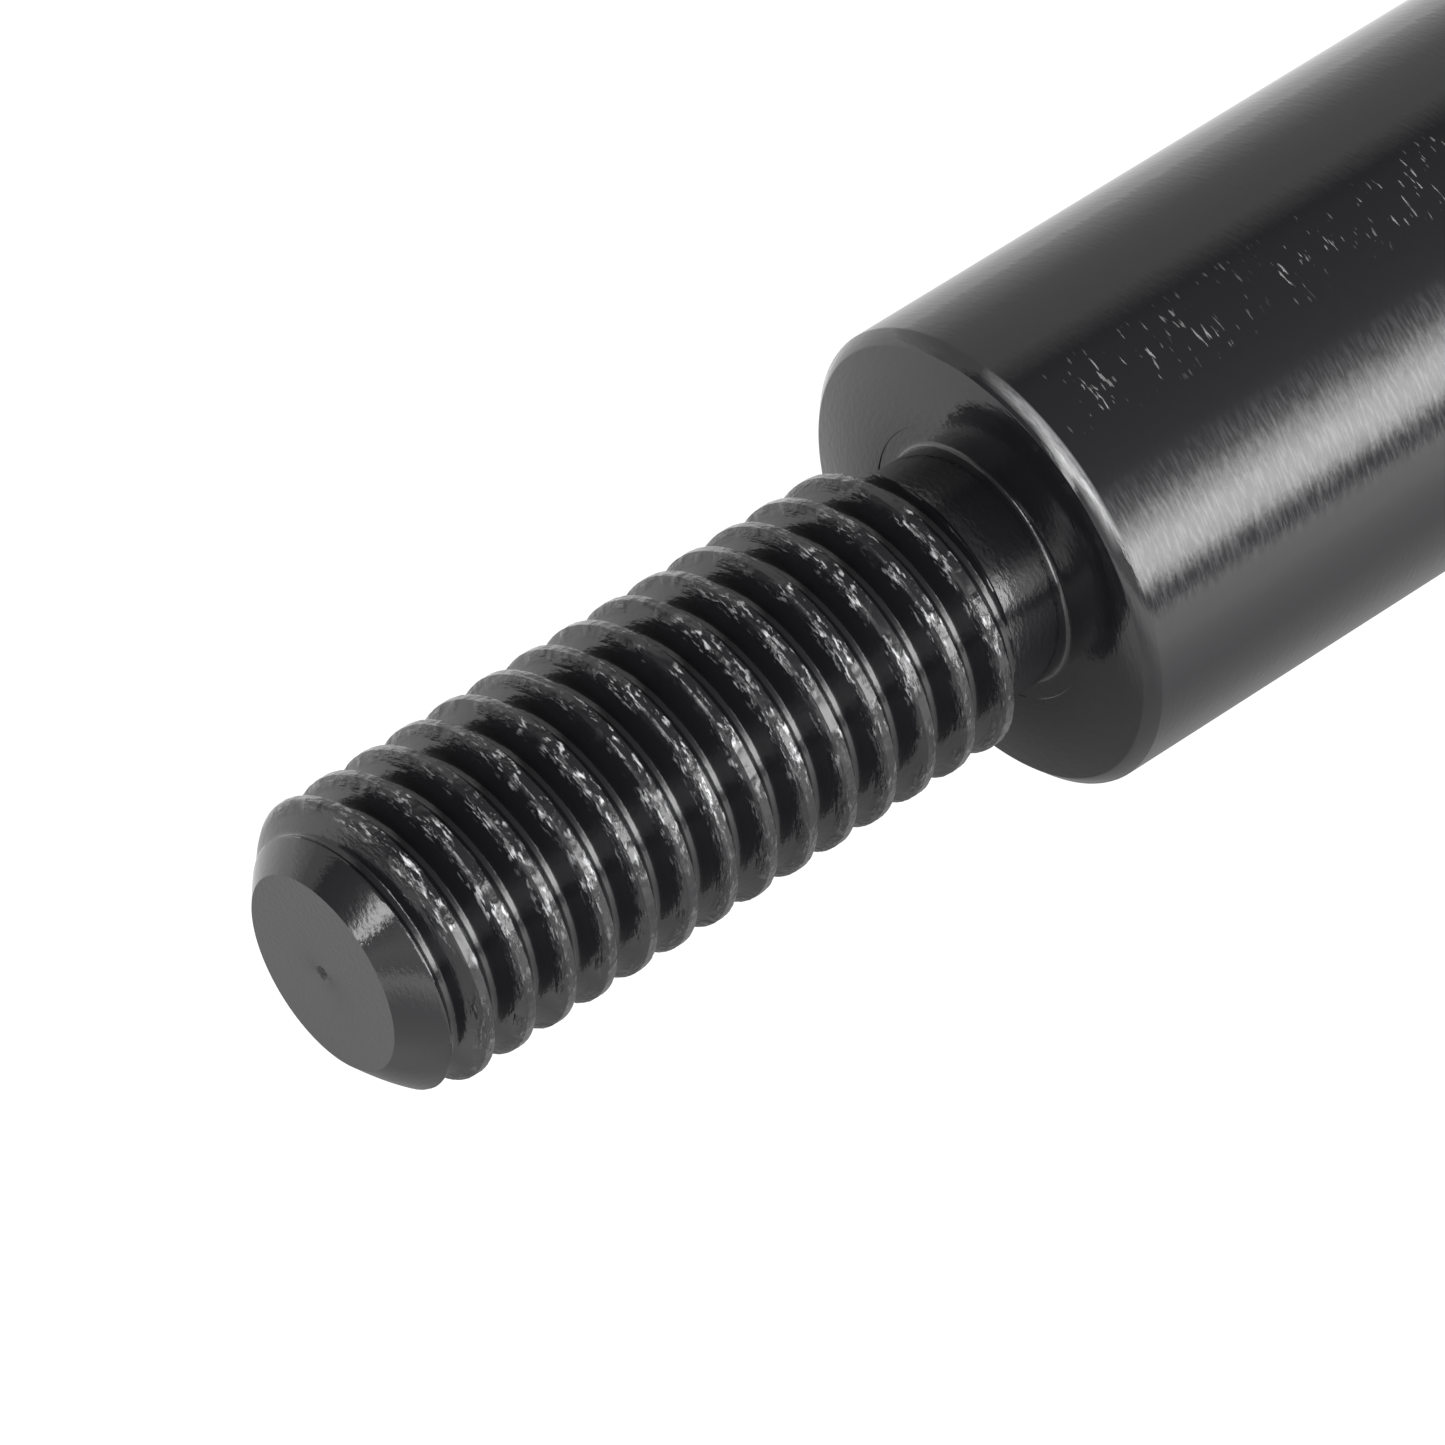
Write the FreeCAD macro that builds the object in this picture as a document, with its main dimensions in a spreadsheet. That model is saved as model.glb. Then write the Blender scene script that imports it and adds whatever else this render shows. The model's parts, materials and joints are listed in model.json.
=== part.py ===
import FreeCAD, Part
import math
import os

import Sketcher
from FreeCAD import Placement, Rotation, Vector

# Ball screw assembly: a fixed-free ball screw with its flanged nut and fixed-side support block.
# X runs along the screw, from the threaded stud (-X) to the drive journal (+X).  +Z is up.
# The origin is the centre of the support block's base face.  Lengths are in millimetres.

DIMENSIONS = (
    # The screw shaft, from the stud to the drive journal.
    ("axis_height", 30.0),
    ("shank_dia", 12.5),
    ("shank_length", 26.0),
    ("shoulder_chamfer", 0.3),
    ("stud_length", 20.6),
    ("stud_crest_dia", 7.85),
    ("stud_root_dia", 6.5),
    ("stud_tip_dia", 5.27),
    ("stud_pitch", 1.25),
    ("stud_groove_start", -0.642),
    ("stud_turns", 16.0),
    ("thread_root_flat", 0.16),
    ("thread_overcut", 0.12),
    ("flank_slope", 0.57735),
    ("relief_dia", 6.4),
    ("relief_length", 1.7),
    ("relief_bevel", 0.6),
    ("relief_fillet", 0.55),
    ("ball_thread_length", 125.0),
    ("lead", 5.0),
    ("ball_dia", 2.381),
    ("ball_circle_dia", 12.9),
    ("ball_clearance", 0.11),
    ("journal_dia", 10.0),
    ("journal_length", 32.0),
    ("lock_thread_dia", 9.9),
    ("lock_thread_root", 8.8),
    ("lock_thread_pitch", 1.0),
    ("lock_thread_length", 9.5),
    ("lock_thread_lead_in", 0.6),
    ("drive_dia", 8.0),
    ("drive_length", 15.0),
    ("end_chamfer", 0.5),
    ("centre_hole_dia", 2.0),
    ("centre_mark_dia", 0.5),
    # The ball nut.
    ("nut_rest_gap", 35.5),
    ("nut_rest_turns", 9.0),
    ("nut_dia", 34.0),
    ("nut_relief", 0.25),
    ("nut_length", 54.0),
    ("nut_bore_dia", 13.0),
    ("flange_dia", 57.0),
    ("flange_thickness", 10.0),
    ("flange_chamfer", 0.8),
    ("flange_pcd", 45.0),
    ("flange_holes", 6.0),
    ("flange_hole_dia", 5.5),
    ("flange_sink_dia", 9.5),
    ("flange_sink_depth", 5.5),
    ("flat_height", 11.0),
    ("flat_start", 4.4),
    ("flat_length", 32.2),
    ("circuit_start", 6.75),
    ("circuit_turns", 2.5),
    ("circuit_pitch", 15.0),
    ("circuit_balls", 58.0),
    ("first_ball_offset", 0.8),
    ("tube_dia", 3.4),
    ("tube_bore", 2.6),
    ("tube_height", 14.25),
    ("tube_bend_radius", 3.2),
    ("tube_hole_dia", 3.5),
    ("clamp_width", 5.0),
    ("clamp_thickness", 0.9),
    ("clamp_foot", 5.0),
    ("clamp_hole_gap", 0.1),
    ("clamp_screw_dia", 2.5),
    ("clamp_screw_depth", 2.4),
    ("clamp_screw_reach", 4.95),
    ("clamp_screw_spare", 0.3),
    ("clamp_head_dia", 4.5),
    ("clamp_head_height", 2.5),
    ("clamp_hex", 2.0),
    ("wiper_dia", 18.0),
    ("wiper_bore", 12.9),
    ("wiper_width", 2.6),
    ("ring_groove_dia", 19.0),
    ("ring_width", 0.8),
    ("ring_bore", 16.8),
    ("ring_slack", 0.1),
    ("nipple_angle", 120.0),
    ("nipple_slack", 0.1),
    ("nipple_neck_rise", 1.8),
    ("nipple_bead_rise", 1.3),
    ("nipple_dia", 6.0),
    ("nipple_depth", 5.0),
    ("nipple_hex", 7.0),
    ("nipple_hex_height", 2.6),
    ("nipple_height", 7.4),
    ("nipple_neck_dia", 3.1),
    ("nipple_bead_dia", 4.6),
    ("nipple_channel_dia", 1.2),
    ("nipple_ball_dia", 1.4),
    ("nipple_ball_rise", 6.65),
    ("grease_hole_dia", 2.5),
    # The support block.
    ("block_length", 25.0),
    ("block_width", 60.0),
    ("block_height", 47.0),
    ("tower_width", 34.0),
    ("wing_height", 38.0),
    ("block_fillet", 1.5),
    ("base_hole_dia", 6.6),
    ("base_sink_dia", 10.8),
    ("base_sink_depth", 5.5),
    ("base_hole_pitch_x", 13.0),
    ("base_hole_pitch_y", 46.0),
    ("seal_dia", 20.0),
    ("seal_width", 4.0),
    ("seal_bore", 14.1),
    ("lip_bore", 18.0),
    ("housing_lip", 1.5),
    ("cap_thickness", 4.5),
    ("cap_corner", 5.0),
    ("spigot_gap", 0.03),
    ("cap_screw_pitch", 24.0),
    ("cap_screw_dia", 3.0),
    ("cap_head_dia", 5.5),
    ("cap_head_height", 3.0),
    ("cap_screw_length", 10.0),
    ("cap_hex", 2.5),
    ("cap_hole_gap", 0.2),
    ("cap_sink_gap", 0.25),
    # The bearings, their collars and the lock nut.
    ("bearing_dia", 26.0),
    ("bearing_width", 8.0),
    ("bearing_pitch_dia", 18.0),
    ("bearing_ball_dia", 4.762),
    ("bearing_balls", 10.0),
    ("inner_land_dia", 14.8),
    ("outer_land_dia", 21.2),
    ("outer_relief_dia", 22.4),
    ("race_clearance", 0.05),
    ("ring_chamfer", 0.3),
    ("cage_inner_dia", 15.6),
    ("cage_outer_dia", 20.4),
    ("cage_width", 6.6),
    ("collar_dia", 14.0),
    ("collar_proud", 2.0),
    ("rear_collar_proud", 0.5),
    ("lock_nut_dia", 20.0),
    ("lock_nut_width", 8.0),
    ("lock_nut_slots", 4.0),
    ("lock_slot_width", 3.0),
    ("lock_slot_depth", 1.6),
    ("grub_dia", 3.0),
    ("grub_length", 3.2),
    ("grub_first_angle", 45.0),
    ("grub_second_angle", 165.0),
    ("pad_length", 1.2),
    ("pad_gap", 0.1),
)

document = FreeCAD.newDocument("BallScrewAssembly")
sheet = document.addObject("Spreadsheet::Sheet", "Dimensions")
for row, (alias, number) in enumerate(DIMENSIONS, start=1):
    sheet.set("A%d" % row, alias)
    sheet.set("B%d" % row, str(number))
    sheet.setAlias("B%d" % row, alias)
document.recompute()

SIZE = dict(DIMENSIONS)
subparts = {}


def term_value(term):
    """A plain number, or the value of a named dimension."""
    return SIZE[term] if term in SIZE else float(term)


def value(expression):
    """Work out a spaced sum such as "nut_length - 2 * ring_width"; * and / bind first."""
    total = 0.0
    sign = 1.0
    product = None
    pending = "*"
    for word in expression.split():
        if word in ("+", "-") and product is not None:
            total += sign * product
            sign = 1.0 if word == "+" else -1.0
            product = None
            pending = "*"
        elif word == "-":
            sign = -1.0
        elif word in ("*", "/"):
            pending = word
        elif product is None:
            product = term_value(word)
        elif pending == "*":
            product *= term_value(word)
        else:
            product /= term_value(word)
    return total + sign * product


def bound(expression):
    """The same sum written for the document's expression engine."""
    words = ["Dimensions." + word if word in SIZE else word for word in expression.split()]
    return " ".join(words)


def flipped(expression):
    """A sum with the opposite value."""
    swap = {"+": "-", "-": "+"}
    words = [swap.get(word, word) for word in expression.split()]
    if words[0] == "+":
        return " ".join(words[1:])
    return " ".join(words) if words[0] == "-" else "- " + " ".join(words)


# Stations along X, measured from the origin at the middle of the block's base.
BLOCK_FACE = "block_length / 2"
SCREW_SHOULDER = "- block_length / 2 - collar_proud"
BEARING_SEAT = "- block_length / 2 + seal_width + housing_lip"
SCREW_START = SCREW_SHOULDER + " - ball_thread_length - shank_length - stud_length"
NUT_START = SCREW_SHOULDER + " - nut_rest_gap - nut_length"
CAP_SEAT = BEARING_SEAT + " + bearing_width + bearing_width"
COLLAR_END = BLOCK_FACE + " + cap_thickness + rear_collar_proud"


def place(thing, x="0", y="0", z="axis_height"):
    """Bind an object's position to sums of the sheet's dimensions."""
    for axis, expression in (("x", x), ("y", y), ("z", z)):
        thing.setExpression(".Placement.Base." + axis, bound(expression))


def register(name, thing):
    """Give a finished object its label and keep it for checking and export."""
    thing.Label = name
    subparts[name] = thing
    return thing


def origin_plane(body, role):
    """One of a body's own origin planes or axes."""
    return next(item for item in body.Origin.OriginFeatures if item.Role == role)


def new_sketch(body, name, plane="XY_Plane"):
    """A sketch on one of the body's own origin planes."""
    sketch = body.newObject("Sketcher::SketchObject", name)
    sketch.AttachmentSupport = (origin_plane(body, plane), "")
    sketch.MapMode = "FlatFace"
    return sketch


def pin_point(sketch, edge, vertex, along, across):
    """Tie a point of a sketched edge to two sums of the sheet's dimensions."""
    for kind, axis, expression in (("DistanceX", -2, along), ("DistanceY", -1, across)):
        distance = value(expression)
        if abs(distance) < 1e-9:
            sketch.addConstraint(Sketcher.Constraint("PointOnObject", edge, vertex, axis))
            continue
        ends = (-1, 1, edge, vertex) if distance > 0 else (edge, vertex, -1, 1)
        index = sketch.addConstraint(Sketcher.Constraint(kind, *ends, abs(distance)))
        text = expression if distance > 0 else flipped(expression)
        sketch.setExpression("Constraints[%d]" % index, bound(text))


def draw_outline(sketch, corners):
    """A closed outline of straight edges through corners given as (along, across) sums."""
    points = [Vector(value(along), value(across), 0) for along, across in corners]
    for start, end in zip(points, points[1:] + points[:1]):
        sketch.addGeometry(Part.LineSegment(start, end))
    for edge, (along, across) in enumerate(corners):
        following = (edge + 1) % len(corners)
        sketch.addConstraint(Sketcher.Constraint("Coincident", edge, 2, following, 1))
        pin_point(sketch, edge, 1, along, across)


def draw_circle(sketch, along, across, radius):
    """A circle whose centre and radius are bound sums."""
    centre = Vector(value(along), value(across), 0)
    circle = sketch.addGeometry(Part.Circle(centre, Vector(0, 0, 1), value(radius)))
    index = sketch.addConstraint(Sketcher.Constraint("Radius", circle, value(radius)))
    sketch.setExpression("Constraints[%d]" % index, bound(radius))
    pin_point(sketch, circle, 3, along, across)


def revolve(body, name, corners, feature="PartDesign::Revolution"):
    """Turn an outline about the body's X axis, adding or cutting material."""
    sketch = new_sketch(body, name + "_outline")
    draw_outline(sketch, corners)
    turned = body.newObject(feature, name)
    turned.Profile = sketch
    turned.ReferenceAxis = (sketch, ["H_Axis"])
    turned.Angle = 360
    return turned


def new_body(name, x="0"):
    """A body whose local X axis is the screw's axis, starting at the given station."""
    body = document.addObject("PartDesign::Body", name)
    place(body, x)
    return body


def ring_body(name, x, inner, outer, width, chamfer="ring_chamfer"):
    """A plain ring with chamfered outer edges, given its radii and width as sums."""
    body = new_body(name, x)
    revolve(body, name + "_ring", (
        ("0", inner),
        (width, inner),
        (width, outer + " - " + chamfer),
        (width + " - " + chamfer, outer),
        (chamfer, outer),
        ("0", outer + " - " + chamfer),
    ))
    return body


def cut_torus(body, name, along, across, radius):
    """Cut a round groove about the X axis."""
    sketch = new_sketch(body, name + "_circle")
    draw_circle(sketch, along, across, radius)
    groove = body.newObject("PartDesign::Groove", name)
    groove.Profile = sketch
    groove.ReferenceAxis = (sketch, ["H_Axis"])
    groove.Angle = 360
    return groove


def cut_helix(body, name, sketch, pitch, turns):
    """Sweep a sketched profile along a right-hand helix about X and cut it away."""
    helix = body.newObject("PartDesign::SubtractiveHelix", name)
    helix.Profile = sketch
    helix.ReferenceAxis = (sketch, ["H_Axis"])
    helix.Mode = 1
    helix.setExpression("Pitch", bound(pitch))
    helix.setExpression("Turns", bound(turns))
    helix.Refine = False
    return helix


def holes_along_x(body, name, centres, radius, depth, start="0", reverse=True):
    """Cut round holes along X from a station plane; centres are (y, z) sums."""
    sketch = new_sketch(body, name + "_circles", "YZ_Plane")
    sketch.setExpression(".AttachmentOffset.Base.z", bound(start))
    for across, up in centres:
        draw_circle(sketch, across, up, radius)
    pocket = body.newObject("PartDesign::Pocket", name)
    pocket.Profile = sketch
    pocket.setExpression("Length", bound(depth))
    pocket.Reversed = reverse
    return pocket


def copies(name, shape, placements):
    """One node holding a copy of a shape at each placement."""
    group = document.addObject("Part::Feature", name)
    solids = []
    for spot in placements:
        solid = shape.copy()
        solid.Placement = spot.multiply(shape.Placement)
        solids.append(solid)
    group.Shape = Part.makeCompound(solids)
    return group


def socket_screw(head_dia, head_height, thread_dia, length, hex_size):
    """A socket head screw: head above local z = 0, thread below, hexagon socket in the head."""
    head = Part.makeCylinder(head_dia / 2, head_height)
    rim = [edge for edge in head.Edges if edge.BoundBox.ZMin > head_height / 2]
    head = head.makeChamfer(head_height / 10, rim)
    thread = Part.makeCylinder(thread_dia / 2, length, Vector(0, 0, -length))
    socket = hexagon_prism(hex_size, head_height)
    socket.translate(Vector(0, 0, head_height / 2))
    return head.fuse(thread).cut(socket).removeSplitter()


def hexagon_prism(across_flats, height):
    """A hexagonal prism standing on local z = 0."""
    radius = across_flats / math.sqrt(3)
    corners = [
        Vector(radius * math.cos(math.pi * k / 3), radius * math.sin(math.pi * k / 3), 0)
        for k in range(7)
    ]
    return Part.Face(Part.makePolygon(corners)).extrude(Vector(0, 0, height))


def grub_screw(dia, length):
    """A set screw with a hexagon socket at its top, standing on local z = 0."""
    screw = Part.makeCylinder(dia / 2, length)
    socket = hexagon_prism(dia / 2, length / 2)
    socket.translate(Vector(0, 0, length / 2))
    return screw.cut(socket)


# ---- Screw shaft -----------------------------------------------------------------------------

def build_screw_shaft():
    """Stud, relief, shank, ball thread, bearing journal, lock-nut thread and drive journal."""
    body = new_body("ScrewShaft", SCREW_START)
    shoulder = "stud_length"
    thread_start = shoulder + " + shank_length"
    journal_start = thread_start + " + ball_thread_length"
    lock_start = journal_start + " + journal_length"
    drive_start = lock_start + " + lock_thread_length"
    shaft_end = drive_start + " + drive_length"
    tip_bevel = "stud_crest_dia / 2 - stud_tip_dia / 2"
    relief_start = shoulder + " - relief_length"
    revolve(body, "ShaftTurning", (
        ("centre_mark_dia / 2", "0"),
        ("0", "centre_mark_dia / 2"),
        ("0", "stud_tip_dia / 2"),
        (tip_bevel, "stud_crest_dia / 2"),
        (relief_start + " - relief_bevel", "stud_crest_dia / 2"),
        (relief_start, "relief_dia / 2"),
        (shoulder, "relief_dia / 2"),
        (shoulder, "shank_dia / 2 - shoulder_chamfer"),
        (shoulder + " + shoulder_chamfer", "shank_dia / 2"),
        (journal_start + " - end_chamfer", "shank_dia / 2"),
        (journal_start, "shank_dia / 2 - end_chamfer"),
        (journal_start, "journal_dia / 2"),
        (lock_start, "journal_dia / 2"),
        (lock_start, "lock_thread_dia / 2"),
        (drive_start + " - end_chamfer", "lock_thread_dia / 2"),
        (drive_start, "lock_thread_dia / 2 - end_chamfer"),
        (drive_start, "drive_dia / 2"),
        (shaft_end + " - end_chamfer", "drive_dia / 2"),
        (shaft_end, "drive_dia / 2 - end_chamfer"),
        (shaft_end, "centre_hole_dia / 2"),
        (shaft_end + " - centre_hole_dia", "0"),
    ))
    document.recompute()
    turned = body.Tip
    corner_edge = shaft_edge(turned.Shape, value(shoulder), SIZE["relief_dia"] / 2)
    corner = body.newObject("PartDesign::Fillet", "ReliefFillet")
    corner.Base = (turned, [corner_edge])
    corner.setExpression("Radius", bound("relief_fillet"))
    document.recompute()

    stud_cut = new_sketch(body, "StudThreadProfile")
    draw_vee(stud_cut, "stud_groove_start", "stud_root_dia", "stud_crest_dia")
    cut_helix(body, "StudThread", stud_cut, "stud_pitch", "stud_turns")
    document.recompute()

    lock_cut = new_sketch(body, "LockThreadProfile")
    draw_vee(lock_cut, lock_start + " + lock_thread_lead_in", "lock_thread_root",
             "lock_thread_dia")
    cut_helix(body, "LockThread", lock_cut, "lock_thread_pitch",
              "lock_thread_length / lock_thread_pitch + 0.5")
    document.recompute()

    ball_cut = new_sketch(body, "BallThreadProfile")
    nut_from_stud = "stud_length + shank_length + ball_thread_length - nut_rest_gap - nut_length"
    draw_circle(ball_cut, nut_from_stud + " + circuit_start + lead / 2 - nut_rest_turns * lead",
                "ball_circle_dia / 2", "ball_dia / 2 + ball_clearance")
    cut_helix(body, "BallThread", ball_cut, "lead", "ball_thread_length / lead")
    document.recompute()
    return register("screw_shaft", body)


def draw_vee(sketch, start, root_dia, crest_dia):
    """A 60 degree thread groove centred on a station along X, open past the crests."""
    half_flat = "thread_root_flat / 2"
    slope = " * flank_slope"
    rise = crest_dia + " / 2" + slope + " - " + root_dia + " / 2" + slope
    half_top = half_flat + " + " + rise + " + thread_overcut" + slope
    root = root_dia + " / 2"
    top = crest_dia + " / 2 + thread_overcut"
    draw_outline(sketch, (
        (start + " - " + half_flat, root),
        (start + " + " + half_flat, root),
        (start + " + " + half_top, top),
        (start + flipped_tail(half_top), top),
    ))


def flipped_tail(expression):
    """The opposite of a sum, ready to follow another sum."""
    return " " + flipped(expression)


def shaft_edge(shape, along, radius):
    """The name of the circular edge at a station with a given radius."""
    for number, edge in enumerate(shape.Edges, start=1):
        curve = edge.Curve
        if isinstance(curve, Part.Circle) and abs(curve.Radius - radius) < 1e-4:
            if abs(curve.Center.x - along) < 1e-4:
                return "Edge%d" % number
    raise ValueError("no such edge")


# ---- Ball nut --------------------------------------------------------------------------------

def build_nut_body():
    """Flanged nut body with its internal ball groove, tube holes, clamp holes and end recesses."""
    body = new_body("NutBody", NUT_START)
    flange_start = "nut_length - flange_thickness"
    pilot_start = "flat_start + flat_length"
    revolve(body, "NutTurning", (
        ("0", "nut_bore_dia / 2"),
        ("nut_length", "nut_bore_dia / 2"),
        ("nut_length", "flange_dia / 2 - flange_chamfer"),
        ("nut_length - flange_chamfer", "flange_dia / 2"),
        (flange_start + " + flange_chamfer", "flange_dia / 2"),
        (flange_start, "flange_dia / 2 - flange_chamfer"),
        (flange_start, "nut_dia / 2"),
        (pilot_start, "nut_dia / 2"),
        (pilot_start, "nut_dia / 2 - nut_relief"),
        ("flange_chamfer", "nut_dia / 2 - nut_relief"),
        ("0", "nut_dia / 2 - nut_relief - flange_chamfer"),
    ))
    cut_recess(body, "FrontRecess", "0", "wiper_width + ring_width", "wiper_dia / 2")
    cut_recess(body, "FrontRingGroove", "0", "ring_width", "ring_groove_dia / 2")
    back = "nut_length - wiper_width - ring_width"
    cut_recess(body, "RearRecess", back, "nut_length", "wiper_dia / 2")
    cut_recess(body, "RearRingGroove", "nut_length - ring_width", "nut_length",
                   "ring_groove_dia / 2")

    count = int(SIZE["flange_holes"])
    centres = ring_of_points(SIZE["flange_pcd"] / 2, count, 360 / count / 2)
    holes_along_x(body, "FlangeHoles", centres, "flange_hole_dia / 2", "flange_thickness",
                  flange_start)
    holes_along_x(body, "FlangeSinks", centres, "flange_sink_dia / 2", "flange_sink_depth",
                  "nut_length - flange_sink_depth")

    flat = new_sketch(body, "FlatOutline", "XZ_Plane")
    draw_outline(flat, (
        ("flat_start", "flat_height"),
        ("flat_start + flat_length", "flat_height"),
        ("flat_start + flat_length", "nut_dia / 2 + 1"),
        ("flat_start", "nut_dia / 2 + 1"),
    ))
    flat_cut = body.newObject("PartDesign::Pocket", "TopFlat")
    flat_cut.Profile = flat
    flat_cut.Midplane = True
    flat_cut.setExpression("Length", bound("nut_dia"))
    document.recompute()

    for letter, foot in circuit_feet():
        turns = SIZE["circuit_turns"] * SIZE["lead"]
        for side, station in ((-1, foot), (1, foot + turns)):
            hole = new_sketch(body, "TubeHole_%s%d" % (letter, side + 1))
            circle = hole.addGeometry(Part.Circle(
                Vector(station, side * SIZE["ball_circle_dia"] / 2, 0),
                Vector(0, 0, 1), SIZE["tube_hole_dia"] / 2))
            hole.addConstraint(Sketcher.Constraint("Block", circle))
            drill = body.newObject("PartDesign::Pocket", "TubeHoleCut_%s%d" % (letter, side + 1))
            drill.Profile = hole
            drill.setExpression("Length", bound("flat_height"))
            drill.Reversed = True
    screw_holes = new_sketch(body, "ClampScrewHoles")
    screw_holes.setExpression(".AttachmentOffset.Base.z",
                              bound("flat_height - clamp_screw_depth"))
    for point, _ in clamp_screw_points():
        circle = screw_holes.addGeometry(
            Part.Circle(point, Vector(0, 0, 1), SIZE["clamp_screw_dia"] / 2))
        screw_holes.addConstraint(Sketcher.Constraint("Block", circle))
    screw_drill = body.newObject("PartDesign::Pocket", "ClampScrewDrill")
    screw_drill.Profile = screw_holes
    screw_drill.setExpression("Length", bound("clamp_screw_depth + 1"))
    screw_drill.Reversed = True
    document.recompute()

    groove = new_sketch(body, "NutGrooveProfile")
    draw_circle(groove, "circuit_start - lead / 2", "ball_circle_dia / 2",
                "ball_dia / 2 + ball_clearance")
    cut_helix(body, "NutGroove", groove, "lead", "nut_length / lead - 1")
    document.recompute()

    finished = document.addObject("Part::Cut", "NutWithGreaseHole")
    passage = document.addObject("Part::Cylinder", "GreasePassage")
    passage.setExpression("Radius", bound("grease_hole_dia / 2"))
    passage.setExpression("Height", bound("flange_dia / 2"))
    socket = document.addObject("Part::Cylinder", "NippleSocket")
    socket.setExpression("Radius", bound("nipple_dia / 2"))
    socket.setExpression("Height", bound("nipple_depth + 2"))
    tools = document.addObject("Part::Fuse", "GreaseDrilling")
    passage.Placement = nipple_frame(SIZE["ball_circle_dia"] / 2)
    socket.Placement = nipple_frame(SIZE["flange_dia"] / 2 - SIZE["nipple_depth"])
    tools.Base = passage
    tools.Tool = socket
    finished.Base = body
    finished.Tool = tools
    return register("nut_body", finished)


def cut_recess(body, name, start, end, radius):
    """Cut a recess of one radius between two stations, from the axis outwards."""
    return revolve(body, name, (
        (start, "nut_bore_dia / 2 - 1"),
        (end, "nut_bore_dia / 2 - 1"),
        (end, radius),
        (start, radius),
    ), "PartDesign::Groove")


def ring_of_points(radius, count, first_angle):
    """Evenly spaced (y, z) points on a circle, as text sums, starting at an angle from +Y."""
    points = []
    for step in range(count):
        angle = math.radians(first_angle + 360 * step / count)
        points.append((signed(radius * math.cos(angle)), signed(radius * math.sin(angle))))
    return points


def signed(number):
    """A number as a sum that the expression helpers read: a minus sign stands apart."""
    return "%.9f" % number if number >= 0 else "- %.9f" % -number


def circuit_feet():
    """Each ball circuit's letter and the station of its tube leg on the -Y side."""
    return [
        ("a", SIZE["circuit_start"]),
        ("b", SIZE["circuit_start"] + SIZE["circuit_pitch"]),
    ]


def nut_origin():
    """The nut's first face on the screw axis, in the assembly's frame."""
    return Vector(value(NUT_START), 0, SIZE["axis_height"])


def nipple_frame(radius):
    """Local +Z points out of the flange's rim at the nipple, measured round from +Y."""
    angle = math.radians(SIZE["nipple_angle"])
    out = Vector(0, math.cos(angle), math.sin(angle))
    middle = Vector(SIZE["nut_length"] - SIZE["flange_thickness"] / 2, 0, 0)
    return Placement(nut_origin() + middle + out * radius, Rotation(Vector(0, 0, 1), out))


def crossover_frame(foot):
    """Local +X runs along a circuit's crossover tube; the origin is on the axis below it."""
    travel = SIZE["circuit_turns"] * SIZE["lead"]
    angle = math.degrees(math.atan2(SIZE["ball_circle_dia"], travel))
    return Placement(Vector(foot + travel / 2, 0, 0), Rotation(Vector(0, 0, 1), angle))


def clamp_screw_points():
    """The clamp screws' places on the nut's flat, each with its crossover's frame."""
    points = []
    for _, foot in circuit_feet():
        frame = crossover_frame(foot)
        for side in (-1, 1):
            reach = Vector(0, side * SIZE["clamp_screw_reach"], 0)
            points.append((frame.multVec(reach), frame))
    return points


def tube_path(foot):
    """The centreline of a return tube: up one leg, across the top and down the other."""
    half_travel = SIZE["circuit_turns"] * SIZE["lead"] / 2
    side = SIZE["ball_circle_dia"] / 2
    top = SIZE["tube_height"]
    bend = SIZE["tube_bend_radius"]
    centre = Vector(foot + half_travel, 0, 0)
    reach = Vector(half_travel, side, 0)
    across = Vector(reach)
    across.normalize()
    up = Vector(0, 0, 1)
    edges = []
    low = centre + reach
    turn_start = low + up * (top - bend)
    turn_end = low + up * top - across * bend
    middle = low + up * (top - bend) - across * bend
    middle = middle + (up + across) * (bend / math.sqrt(2))
    edges.append(Part.LineSegment(low, turn_start).toShape())
    edges.append(Part.Arc(turn_start, middle, turn_end).toShape())
    other_low = centre - reach
    other_end = other_low + up * top + across * bend
    edges.append(Part.LineSegment(turn_end, other_end).toShape())
    other_start = other_low + up * (top - bend)
    other_middle = other_low + up * (top - bend) + across * bend
    other_middle = other_middle + (up - across) * (bend / math.sqrt(2))
    edges.append(Part.Arc(other_end, other_middle, other_start).toShape())
    edges.append(Part.LineSegment(other_start, other_low).toShape())
    return Part.Wire(edges)


def build_return_tube(letter, foot):
    """A bent steel tube whose feet are cut away where the screw turns between them."""
    path = tube_path(foot)
    start = path.Edges[0].Vertexes[0].Point
    pipes = []
    for radius in (SIZE["tube_dia"] / 2, SIZE["tube_bore"] / 2):
        section = Part.Wire([Part.makeCircle(radius, start, Vector(0, 0, 1))])
        pipes.append(path.makePipeShell([section], True, True))
    bore = Part.makeCylinder(SIZE["nut_bore_dia"] / 2, SIZE["nut_length"],
                             Vector(0, 0, 0), Vector(1, 0, 0))
    tube = document.addObject("Part::Feature", "ReturnTube_" + letter)
    tube.Shape = pipes[0].cut(pipes[1]).cut(bore)
    place(tube, NUT_START)
    return register("return_tube_" + letter, tube)


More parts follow.
